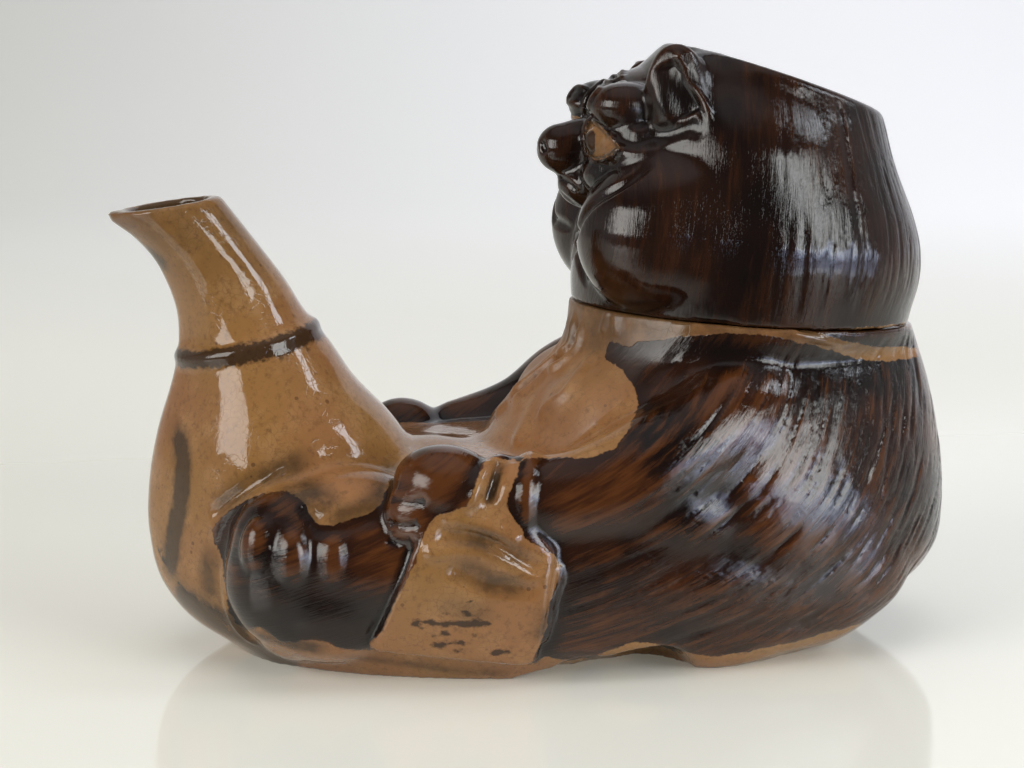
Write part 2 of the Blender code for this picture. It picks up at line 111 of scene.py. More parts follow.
# The middle line of the flask's bore, from the inside of the flask out of its mouth
BORE_WAY = (
    (-66, 0, 66), (-73.4, 0, 84), (-81, 0, 95), (-85, 0, MOUTH_CUT[1]), (-89, 0, MOUTH_CUT[1] + 9),
)


def spot(x: float, y: float, z: float) -> Vector:
    """A place on the figure, from figure millimetres to metres.

    Args:
        x: Place along the length.
        y: Place across.
        z: Height.

    Returns:
        The place in the part's frame.
    """
    return Vector((x - MIDDLE, y - ASIDE, z)) * UNIT


def read(rows: Sequence[Row], height: float) -> np.ndarray:
    """Reads a stack of level sections at a height, on a smooth curve through them.

    Args:
        rows: Height, front, back and half width of each section.
        height: The height to read.

    Returns:
        Front, back and half width.
    """
    table = np.array(rows, float)
    heights, values = table[:, 0], table[:, 1:]
    slopes = np.gradient(values, heights, axis=0)
    low = int(np.clip(np.searchsorted(heights, height) - 1, 0, len(rows) - 2))
    span = heights[low + 1] - heights[low]
    t = float(np.clip((height - heights[low]) / span, 0, 1))
    ends = (1 + 2 * t) * (1 - t) ** 2 * values[low] + t * t * (3 - 2 * t) * values[low + 1]
    bends = t * (1 - t) ** 2 * slopes[low] + t * t * (t - 1) * slopes[low + 1]
    return ends + span * bends


def height_on(plane: Row, x: Measure) -> Measure:
    """Height of a cut plane over a place along the length."""
    return plane[1] + (x - plane[0]) * math.tan(math.radians(plane[2]))


def moved(plane: Row, rise: float) -> tuple[float, float, float]:
    """A cut plane moved square to itself by a distance."""
    return (plane[0], plane[1] + rise / math.cos(math.radians(plane[2])), plane[2])


def near_side(places: np.ndarray) -> np.ndarray:
    """The places, with those on the far side mirrored to the near side."""
    return places * np.array([1, 0, 1]) - np.abs(places) * np.array([0, 1, 0])


def ramp(value: Measure, start: float, end: float) -> Measure:
    """Rises smoothly from 0 at the start to 1 at the end."""
    t = np.clip((value - start) / (end - start), 0, 1)
    return t * t * (3 - 2 * t)


def flowing(points: Sequence[Place], step: float) -> np.ndarray:
    """A smooth line through points.

    Args:
        points: The points that it passes, in any number of dimensions.
        step: The distance between the places on it.

    Returns:
        One row for each place on the line.
    """
    rows = np.array(points, float)
    if len(rows) < 3:
        count = max(2, int(np.linalg.norm(rows[-1] - rows[0]) / step) + 1)
        t = np.linspace(0, 1, count)[:, None]
        return rows[0] * (1 - t) + rows[-1] * t
    padded = np.vstack([2 * rows[0] - rows[1], rows, 2 * rows[-1] - rows[-2]])
    line = []
    for a, b, c, d in zip(padded, padded[1:], padded[2:], padded[3:]):
        for t in np.linspace(0, 1, max(2, int(np.linalg.norm(c - b) / step) + 1))[:-1]:
            line.append(0.5 * (2 * b + (c - a) * t + (2 * a - 5 * b + 4 * c - d) * t * t
                               + (3 * b - a - 3 * c + d) * t ** 3))
    return np.array(line + [rows[-1]])


def unit_ball() -> bpy.types.Mesh:
    """The round form that every ellipsoid is a copy of, built when it is first asked for.

    Returns:
        Its mesh.
    """
    mesh = bpy.data.meshes.get("unit_ball")
    if not mesh:
        mesh = bpy.data.meshes.new("unit_ball")
        bm = bmesh.new()
        bmesh.ops.create_uvsphere(bm, u_segments=40, v_segments=26, radius=1)
        bm.to_mesh(mesh)
        bm.free()
    return mesh


class Clay:
    """Closed forms that overlap, gathered in one mesh before they become one skin."""

    def __init__(self) -> None:
        """Starts with no form."""
        self.bm = bmesh.new()

    def ball(self, middle: Place, radii: Place, turn: Place = (0, 0, 0)) -> None:
        """Adds an ellipsoid, turned by degrees about X, Y and Z.

        Args:
            middle: Its middle.
            radii: Its three radii.
            turn: Degrees about X, Y and Z.
        """
        angles = Euler([math.radians(a) for a in turn])
        copy = unit_ball().copy()
        copy.transform(Matrix.LocRotScale(spot(*middle), angles, Vector(radii) * UNIT))
        self.bm.from_mesh(copy)
        bpy.data.meshes.remove(copy)

    def pair(self, middle: Place, radii: Place, turn: Place = (0, 0, 0)) -> None:
        """Adds the same ellipsoid on both sides. It is placed for the far side.

        Args:
            middle: The middle of the one on the far side.
            radii: The three radii.
            turn: Degrees about X, Y and Z, for the far side.
        """
        x, y, z = middle
        for side in SIDES:
            self.ball((x, side * y, z), radii, (side * turn[0], turn[1], side * turn[2]))

    def limb(self, places: Sequence[Place], radii: Sequence[float]) -> None:
        """Adds a round limb of changing thickness along a smooth path, with round ends.

        Args:
            places: The points that its middle line passes.
            radii: Its radius at each of them.
        """
        curve = bpy.data.curves.new("limb", "CURVE")
        curve.dimensions = "3D"
        curve.bevel_depth = UNIT
        curve.bevel_resolution = 7
        curve.resolution_u = 10
        curve.use_fill_caps = True
        spline = curve.splines.new("BEZIER")
        spline.bezier_points.add(len(places) - 1)
        for point, place, radius in zip(spline.bezier_points, places, radii):
            point.co = spot(*place)
            point.handle_left_type = "AUTO"
            point.handle_right_type = "AUTO"
            point.radius = radius
        guide = bpy.data.objects.new("limb", curve)
        mesh = bpy.data.meshes.new_from_object(guide)
        self.bm.from_mesh(mesh)
        bpy.data.objects.remove(guide)
        bpy.data.curves.remove(curve)
        bpy.data.meshes.remove(mesh)
        for end in (0, -1):
            self.ball(places[end], [radii[end]] * 3)

    def limbs(self, places: Sequence[Place], radii: Sequence[float]) -> None:
        """Adds the same limb on both sides. It is placed for the far side."""
        for side in SIDES:
            self.limb([(x, side * y, z) for x, y, z in places], radii)

    def loft(self, rings: Sequence[Sequence[Vector]]) -> None:
        """Adds a skin over rings of points, closed at both ends.

        Args:
            rings: Rings of as many points each, from the lowest up.
        """
        loops = [[self.bm.verts.new(point) for point in points] for points in rings]
        self.bm.faces.new(reversed(loops[0]))
        self.bm.faces.new(loops[-1])
        for lower, upper in zip(loops, loops[1:]):
            for i in range(len(lower)):
                j = (i + 1) % len(lower)
                self.bm.faces.new((lower[i], lower[j], upper[j], upper[i]))

    def stack(self, rows: Sequence[Row], low: float, high: float, wall: float = 0.0, beak: float = 0.0) -> None:
        """Adds level ovals from one height to another.

        Args:
            rows: The stack's sections.
            low: The lowest height.
            high: The highest height.
            wall: How far every oval is drawn in.
            beak: How strongly its front is drawn out to a point.
        """
        rings = []
        for height in np.linspace(low, high, max(2, round((high - low) / RING_STEP) + 1)):
            front, back, half = read(rows, height)
            rings.append(ring(front + wall, back - wall, half - wall, height, beak))
        self.loft(rings)

    def tube(self, height: float, low: float, high: float, wall: float) -> None:
        """Adds an upright oval tube as wide as the trunk at a height, drawn in by a wall.

        Args:
            height: The trunk's height that gives the oval.
            low: The lower end.
            high: The upper end.
            wall: How far the oval is drawn in.
        """
        front, back, half = read(TORSO, height)
        section = (front + wall, back - wall, half - wall)
        self.loft([ring(*section, low), ring(*section, high)])

    def slab(self, plane: Row, front: float, back: float, above: bool) -> None:
        """Adds a block on one side of a cut plane, to cut forms with.

        Args:
            plane: The cut plane.
            front: Where the block begins along the length.
            back: Where it ends.
            above: Whether it lies above the plane.
        """
        reach = 90 if above else -90
        corners = []
        for x in (front, back):
            level = height_on(plane, x)
            corners += [(x, y, z) for y in (-80, 80) for z in (level, level + reach)]
        verts = [self.bm.verts.new(spot(*corner)) for corner in corners]
        bmesh.ops.convex_hull(self.bm, input=verts)

    def add(self, obj: bpy.types.Object) -> None:
        """Takes a finished object's mesh into the forms, and removes the object."""
        self.bm.from_mesh(obj.data)
        bpy.data.objects.remove(obj)

    def solid(self, name: str) -> bpy.types.Object:
        """The forms as they are, as one object.

        Args:
            name: The new object's name.

        Returns:
            The object.
        """
        bmesh.ops.recalc_face_normals(self.bm, faces=self.bm.faces)
        mesh = bpy.data.meshes.new(name)
        self.bm.to_mesh(mesh)
        self.bm.free()
        obj = bpy.data.objects.new(name, mesh)
        bpy.context.scene.collection.objects.link(obj)
        return obj

    def skin(self, name: str, grain: float, rounds: int) -> bpy.types.Object:
        """One closed skin over all the forms.

        Args:
            name: The new object's name.
            grain: The size of the skin's squares, in figure millimetres.
            rounds: How often its creases are softened.

        Returns:
            The skin.
        """
        obj = self.solid(name)
        remesh = obj.modifiers.new("Skin", "REMESH")
        remesh.mode = "VOXEL"
        remesh.voxel_size = grain * UNIT
        soften = obj.modifiers.new("Soften", "SMOOTH")
        soften.factor = 0.5
        soften.iterations = rounds
        return applied(obj)


def ring(front: float, back: float, half: float, height: float, beak: float = 0.0) -> list[Vector]:
    """One level oval. A beak draws its front out to a point.

    Args:
        front: The oval's front.
        back: Its back.
        half: Half its width.
        height: Its height.
        beak: How strongly the front is drawn out.

    Returns:
        Its points, in metres.
    """
    middle, reach = (front + back) / 2, (back - front) / 2
    points = []
    for step in range(RING_POINTS):
        angle = math.tau * step / RING_POINTS
        x, y = math.cos(angle), math.sin(angle)
        y *= 1 - beak * max(0.0, -x) ** 3
        points.append(spot(middle + reach * x, half * y, height))
    return points


def around(rows: Sequence[Row], height: float, angle: float, lift: float = 0.0) -> Place:
    """A place on a stack's skin. The angle is in degrees from the front, and rises to the far side.

    Args:
        rows: The stack's sections.
        height: The height of the place.
        angle: The angle.
        lift: How far it stands off the skin.

    Returns:
        The place, in figure millimetres.
    """
    front, back, half = read(rows, height)
    middle, reach = (front + back) / 2, (back - front) / 2 + lift
    turn = math.radians(angle)
    return (middle - reach * math.cos(turn), (half + lift) * math.sin(turn), height)


def applied(obj: bpy.types.Object) -> bpy.types.Object:
    """The object with its modifiers worked into its mesh.

    Args:
        obj: The object.

    Returns:
        The same object, with a new mesh.
    """
    graph = bpy.context.evaluated_depsgraph_get()
    graph.update()
    mesh = bpy.data.meshes.new_from_object(obj.evaluated_get(graph), depsgraph=graph)
    obj.modifiers.clear()
    old, obj.data = obj.data, mesh
    bpy.data.meshes.remove(old)
    return obj


def cut(obj: bpy.types.Object, cutter: bpy.types.Object, how: str = "DIFFERENCE") -> bpy.types.Object:
    """Takes the cutter's space out of the object, or grows it in, and removes the cutter.

    Args:
        obj: The form that is worked.
        cutter: The form that it is worked with.
        how: The kind of Boolean.

    Returns:
        The worked object.
    """
    boolean = obj.modifiers.new("Cut", "BOOLEAN")
    boolean.operation = how
    boolean.solver = "MANIFOLD"
    boolean.object = cutter
    applied(obj)
    bpy.data.objects.remove(cutter)
    return obj


def cut_flat(obj: bpy.types.Object, plane: Row, front: float, back: float, above: bool) -> None:
    """Cuts the object flat by a plane, between two places along the length.

    Args:
        obj: The form that is cut.
        plane: The cut plane.
        front: Where the cut begins.
        back: Where it ends.
        above: Whether what lies above the plane goes.
    """
    clay = Clay()
    clay.slab(plane, front, back, above)
    cut(obj, clay.solid("slab"))


def reskinned(obj: bpy.types.Object, name: str, grain: float, rounds: int) -> bpy.types.Object:
    """A worked form under one new closed skin, in place of its old mesh.

    Args:
        obj: The form, which is used up.
        name: The new object's name.
        grain: The size of the skin's squares, in figure millimetres.
        rounds: How often its creases are softened.

    Returns:
        The skin.
    """
    clay = Clay()
    clay.add(obj)
    return clay.skin(name, grain, rounds)


def tree_of(obj: bpy.types.Object) -> BVHTree:
    """The object's skin, for finding places on it."""
    vertices = [v.co for v in obj.data.vertices]
    return BVHTree.FromPolygons(vertices, [p.vertices for p in obj.data.polygons])


def settled(tree: BVHTree, places: Sequence[Place], lift: float = 0.0) -> list[Place]:
    """The places moved onto the skin, and off it by a lift.

    Args:
        tree: The skin.
        places: The places.
        lift: The lift, which may be below nothing.

    Returns:
        The new places.
    """
    found = []
    for place in places:
        point, normal = tree.find_nearest(spot(*place))[:2]
        point = (point + normal * lift * UNIT) / UNIT
        found.append((point.x + MIDDLE, point.y + ASIDE, point.z))
    return found


@dataclass(frozen=True)
class Viewpoint:
    """Where the figure is seen from. Lines of sight through its picture place what is drawn on the clay."""

    place: Place = (-0.0789, -0.4728, 0.1373)
    aim: float = -8.73
    pitch: float = 9.3
    lens: float = 73.83
    sensor: float = 36.0
    picture: Place = (1024, 768)

    @property
    def axes(self) -> np.ndarray:
        """Rows: to the right, up, and forward.

        Returns:
            One row for each.
        """
        aim, pitch = math.radians(self.aim), math.radians(self.pitch)
        forward = (-math.sin(aim) * math.cos(pitch), math.cos(aim) * math.cos(pitch), -math.sin(pitch))
        right = (math.cos(aim), math.sin(aim), 0.0)
        return np.array([right, np.cross(right, forward), forward])

    @property
    def reach(self) -> float:
        """The lens's length in picture points."""
        return self.lens * self.picture[0] / self.sensor

    def seen(self, places: np.ndarray) -> tuple[np.ndarray, np.ndarray, np.ndarray]:
        """Where places stand in the picture.

        Args:
            places: Figure millimetres, one row each.

        Returns:
            Picture points across, picture points down, and the size of one point in figure millimetres.
        """
        metres = (places - ORIGIN) * UNIT
        right, up, depth = ((metres - np.array(self.place)) @ self.axes.T).T
        across = self.picture[0] / 2 + self.reach * right / depth
        down = self.picture[1] / 2 - self.reach * up / depth
        return across, down, depth / self.reach / UNIT

    def onto(self, tree: BVHTree, points: Sequence[Place], step: float = 4.0) -> np.ndarray:
        """A smooth line drawn in the picture, laid onto the skin.

        Args:
            tree: The skin.
            points: The line's points in the picture.
            step: Picture points from one place to the next.

        Returns:
            Figure millimetres, one row for each place that the line of sight meets.
        """
        right, up, forward = self.axes
        found = []
        for u, v in flowing(points, step):
            ray = forward * self.reach + right * (u - self.picture[0] / 2) + up * (self.picture[1] / 2 - v)
            hit = tree.ray_cast(Vector(self.place), Vector(ray).normalized())[0]
            if hit:
                found.append((hit.x / UNIT + MIDDLE, hit.y / UNIT + ASIDE, hit.z / UNIT))
        return np.array(found)

    def camera(self) -> bpy.types.Object:
        """Builds the camera at the viewpoint.

        Returns:
            The camera.
        """
        data = bpy.data.cameras.new("viewpoint")
        data.lens, data.sensor_width, data.clip_start = self.lens, self.sensor, 0.01
        obj = bpy.data.objects.new("viewpoint", data)
        right, up, forward = self.axes
        matrix = Matrix((right, up, -forward)).transposed().to_4x4()
        matrix.translation = self.place
        obj.matrix_world = matrix
        bpy.context.scene.collection.objects.link(obj)
        bpy.context.scene.camera = obj
        return obj


VIEW = Viewpoint()


def inside_by(outline: Sequence[Place], across: np.ndarray, down: np.ndarray) -> np.ndarray:
    """How far points lie inside an outline in the picture, with less than nothing outside it.

    Args:
        outline: The outline's corners.
        across: Each point's place across.
        down: Each point's place down.

    Returns:
        The distance to the outline's nearest edge.
    """
    corners = np.array(outline, float)
    nearest = np.full(len(across), 1e9)
    odd = np.zeros(len(across), bool)
    for (ax, ay), (bx, by) in zip(corners, np.roll(corners, -1, axis=0)):
        dx, dy = bx - ax, by - ay
        t = np.clip(((across - ax) * dx + (down - ay) * dy) / (dx * dx + dy * dy + 1e-9), 0, 1)
        nearest = np.minimum(nearest, np.hypot(across - ax - t * dx, down - ay - t * dy))
        if ay != by:
            odd ^= ((ay > down) != (by > down)) & (across < dx * (down - ay) / dy + ax)
    return np.where(odd, nearest, -nearest)


class Skin:
    """The vertices of a form, for pressing, raising and painting its surface."""

    def __init__(self, obj: bpy.types.Object) -> None:
        """Reads the object's vertices."""
        self.obj = obj
        self.mesh = obj.data
        self.count = len(self.mesh.vertices)
        self.places = self.read("co") / UNIT + ORIGIN
        self.normals = self.read("normal")
        self.tree = tree_of(obj)

    def read(self, name: str) -> np.ndarray:
        """One of the vertices' vectors, a row for each.

        Args:
            name: The vector's name.

        Returns:
            The vectors.
        """
        values = np.empty(self.count * 3, np.float32)
        self.mesh.vertices.foreach_get(name, values)
        return values.reshape(-1, 3).astype(float)

    def write(self) -> None:
        """Puts the moved vertices back into the mesh."""
        metres = (self.places - ORIGIN) * UNIT
        self.mesh.vertices.foreach_set("co", metres.astype(np.float32).reshape(-1))
        self.mesh.update()
        self.normals = self.read("normal")

    def drawn(self, points: Sequence[Place], side: int = -1) -> np.ndarray:
        """A line drawn in the picture and laid on the near side, or its mirror image on the far side.

        Args:
            points: The line's points in the picture.
            side: Below nothing for the near side.

        Returns:
            The line's places.
        """
        line = VIEW.onto(self.tree, points)
        if side > 0 and len(line):
            line = np.array(settled(self.tree, line * MIRROR))
        return line

    def near(self, line: np.ndarray, reach: float) -> tuple[np.ndarray, np.ndarray, np.ndarray]:
        """The vertices near a line.

        Args:
            line: The line's places.
            reach: How far from it to look.

        Returns:
            Their numbers, their distances from the line, and how far along it they lie, from 0 to 1.
        """
        low, high = line.min(0) - reach, line.max(0) + reach
        chosen = np.flatnonzero(np.all((self.places > low) & (self.places < high), axis=1))
        points = self.places[chosen]
        best = np.full(len(chosen), 1e9)
        share = np.zeros(len(chosen))
        for i, (a, b) in enumerate(zip(line, line[1:])):
            d = b - a
            t = np.clip((points - a) @ d / (d @ d + 1e-9), 0, 1)
            gap = np.linalg.norm(points - a - t[:, None] * d, axis=1)
            closer = gap < best
            best[closer] = gap[closer]
            share[closer] = (i + t[closer]) / (len(line) - 1)
        hit = best < reach
        return chosen[hit], best[hit], share[hit]

    def work(self, line: np.ndarray, width: float, height: float, taper: float = 0.15) -> None:
        """Raises a soft ridge along a line, or presses a groove where the height is below nothing.

        Args:
            line: The line's places.
            width: From the line to where the skin is left as it was.
            height: How far its middle moves.
            taper: The share of its length in which it fades at either end.
        """
        if len(line) < 2:
            return
        chosen, gap, share = self.near(line, width)
        bell = (1 - (gap / width) ** 2) ** 2
        fade = ramp(np.minimum(share, 1 - share), -1e-3, taper) if taper else 1.0
        self.places[chosen] += self.normals[chosen] * (height * bell * fade)[:, None]

    def carve(self, rows: Sequence[tuple], sides: Sequence[int] = SIDES, taper: float = 0.15) -> None:
        """Works lines that are drawn in the picture.

        Args:
            rows: Points in the picture, half width, and height or depth of each line.
            sides: The sides that get them.
            taper: The share of their length in which they fade at either end.
        """
        for points, width, height in rows:
            for side in sides:
                self.work(self.drawn(points, side), width, height, taper)

    def dab(self, middle: Place, radii: Place, height: float) -> None:
        """Raises a soft mound, or presses a dent, within an ellipsoid."""
        self.places += self.normals * (height * self.within(middle, radii) ** 2)[:, None]

    def paint(self, mark: np.ndarray, line: np.ndarray, width: float, strength: float, taper: float = 0.1) -> None:
        """Adds a brush stroke along a line to a mark, whose edge lies at the width.

        Args:
            mark: One value for each vertex, changed in place.
            line: The line's places.
            width: Half the stroke's width.
            strength: The value in its middle.
            taper: The share of its length in which it thins out at either end.
        """
        if len(line) < 2:
            return
        chosen, gap, share = self.near(line, width * 1.6)
        fade = ramp(np.minimum(share, 1 - share), -0.02, taper) if taper else 1.0
        value = strength * fade * np.clip(1.5 - gap / width, 0, 1)
        mark[chosen] = np.maximum(mark[chosen], value)

    def brush(self, mark: np.ndarray, rows: Sequence[tuple], taper: float = 0.1, sides: Sequence[int] = SIDES) -> None:
        """Paints strokes that are drawn in the picture.

        Args:
            mark: One value for each vertex, changed in place.
            rows: Points in the picture, half width and strength of each stroke.
            taper: The share of their length in which they thin out at either end.
            sides: The sides that get them.
        """
        for points, width, strength in rows:
            for side in sides:
                self.paint(mark, self.drawn(points, side), width, strength, taper)

    def smoothed(self, rounds: int, weight: Measure = 1.0) -> np.ndarray:
        """The vertices' places after rounds of smoothing.

        Args:
            rounds: How often each is drawn half way to the middle of its neighbours.
            weight: How strongly that is done, for each vertex or for all.

        Returns:
            One row for each vertex.
        """
        edges = np.empty(len(self.mesh.edges) * 2, np.int32)
        self.mesh.edges.foreach_get("vertices", edges)
        a, b = edges.reshape(-1, 2).T
        weight = np.broadcast_to(weight, (self.count,))
        ends, others = np.concatenate([a, b]), np.concatenate([b, a])
        moving = weight[ends] > 0
        numbers, slots = np.unique(ends[moving], return_inverse=True)
        others = others[moving]
        links, share = np.bincount(slots)[:, None], weight[numbers, None] / 2
        soft = self.places.copy()
        for _ in range(rounds):
            total = np.stack([np.bincount(slots, soft[others, k], len(numbers)) for k in range(3)], axis=1)
            soft[numbers] += (total / links - soft[numbers]) * share
        return soft

    def within(self, middle: Place, radii: Place) -> np.ndarray:
        """How deep each vertex lies within an ellipsoid, from 0 at its edge to 1."""
        away = np.linalg.norm((self.places - np.array(middle)) / np.array(radii), axis=1)
        return np.clip(1 - away ** 2, 0, 1)

    def soften(self, middle: Place, radii: Place, rounds: int) -> None:
        """Softens the skin within an ellipsoid."""
        self.places = self.smoothed(rounds, np.sqrt(self.within(middle, radii)))

    def relief(self, rounds: int) -> np.ndarray:
        """How far each vertex stands proud of its surroundings, in figure millimetres."""
        return np.einsum("ij,ij->i", self.places - self.smoothed(rounds), self.normals)

    def mark(self, name: str, values: np.ndarray) -> None:
        """Keeps one value for each vertex under a name that the finishes read."""
        attribute = self.mesh.attributes.get(name) or self.mesh.attributes.new(name, "FLOAT", "POINT")
        attribute.data.foreach_set("value", np.asarray(values, np.float32))

    def keep_within(self, box: tuple[Vector, Vector]) -> None:
        """Holds every vertex inside a box, and sets what nearly touches the table flat on it.

        Args:
            box: Its lowest and highest corner, in metres.
        """
        low, high = [np.array(corner) / UNIT + ORIGIN for corner in box]
        self.places = np.clip(self.places, low, high)
        flat = self.places[:, 2] < low[2] + 0.15
        self.places[flat, 2] = low[2]


class Wiring:
    """Adds nodes to a tree, and joins them."""

    def __init__(self, tree: bpy.types.NodeTree) -> None:
        """Starts at the tree's left."""
        self.tree = tree

    def node(self, kind: str, values: Optional[dict] = None, **settings: object) -> bpy.types.Node:
        """Adds a node.

        Args:
            kind: The node's type.
            values: For its inputs, by name or number: a value, or the socket that feeds it.
            **settings: Its own properties.

        Returns:
            The node.
        """
        node = self.tree.nodes.new(kind)
        node.location.x = 180 * len(self.tree.nodes)
        for key, value in settings.items():
            setattr(node, key, value)
        for key, value in (values or {}).items():
            if isinstance(value, bpy.types.NodeSocket):
                self.tree.links.new(value, node.inputs[key])
            else:
                node.inputs[key].default_value = value
        return node

    def math(self, operation: str, *values: Feed, clamp: bool = False) -> bpy.types.NodeSocket:
        """The result of a sum on numbers or sockets."""
        node = self.node("ShaderNodeMath", dict(enumerate(values)), operation=operation, use_clamp=clamp)
        return node.outputs[0]

    def span(self, value: Feed, low: float, high: float, start: float = 0.0, end: float = 1.0) -> bpy.types.NodeSocket:
        """The value carried smoothly from one span to another, and held at its ends."""
        ends = {"Value": value, "From Min": low, "From Max": high, "To Min": start, "To Max": end}
        return self.node("ShaderNodeMapRange", ends, interpolation_type="SMOOTHSTEP").outputs[0]

    def mix(self, share: Feed, first: Feed, second: Feed) -> bpy.types.NodeSocket:
        """The first colour, with a share of the second."""
        return self.node("ShaderNodeMix", {0: share, 6: first, 7: second}, data_type="RGBA").outputs[2]

    def noise(self, vector: Feed, scale: float, detail: float = 2.0, roughness: float = 0.5) -> bpy.types.NodeSocket:
        """Smooth noise at a scale."""
        values = {"Vector": vector, "Scale": scale, "Detail": detail, "Roughness": roughness}
        return self.node("ShaderNodeTexNoise", values).outputs[0]

    def place(self) -> bpy.types.NodeSocket:
        """The place on the object."""
        return self.node("ShaderNodeTexCoord").outputs["Object"]

    def join(self, output: bpy.types.NodeSocket, to: bpy.types.NodeSocket) -> None:
        """Joins an output to an input."""
        self.tree.links.new(output, to)


def new_group(name: str, kind: str, inputs: dict, outputs: dict) -> tuple[bpy.types.NodeTree, Wiring, dict, dict]:
    """Starts a node group with named sockets.

    Args:
        name: The group's name.
        kind: The type of tree.
        inputs: Socket type and default value, by name.
        outputs: Socket type, by name.

    Returns:
        The tree, its wiring, the sockets that its inputs give, and those that its outputs take.
    """
    tree = bpy.data.node_groups.new(name, kind)
    for label, (socket, value) in inputs.items():
        made = tree.interface.new_socket(label, in_out="INPUT", socket_type=socket)
        if value is not None:
            made.default_value = value
    for label, socket in outputs.items():
        tree.interface.new_socket(label, in_out="OUTPUT", socket_type=socket)
    entry, leave = tree.nodes.new("NodeGroupInput"), tree.nodes.new("NodeGroupOutput")
    leave.location.x = 6000
    given = {s.name: s for s in entry.outputs if s.name}
    taken = {s.name: s for s in leave.inputs if s.name}
    return tree, Wiring(tree), given, taken


FLOAT = "NodeSocketFloat"


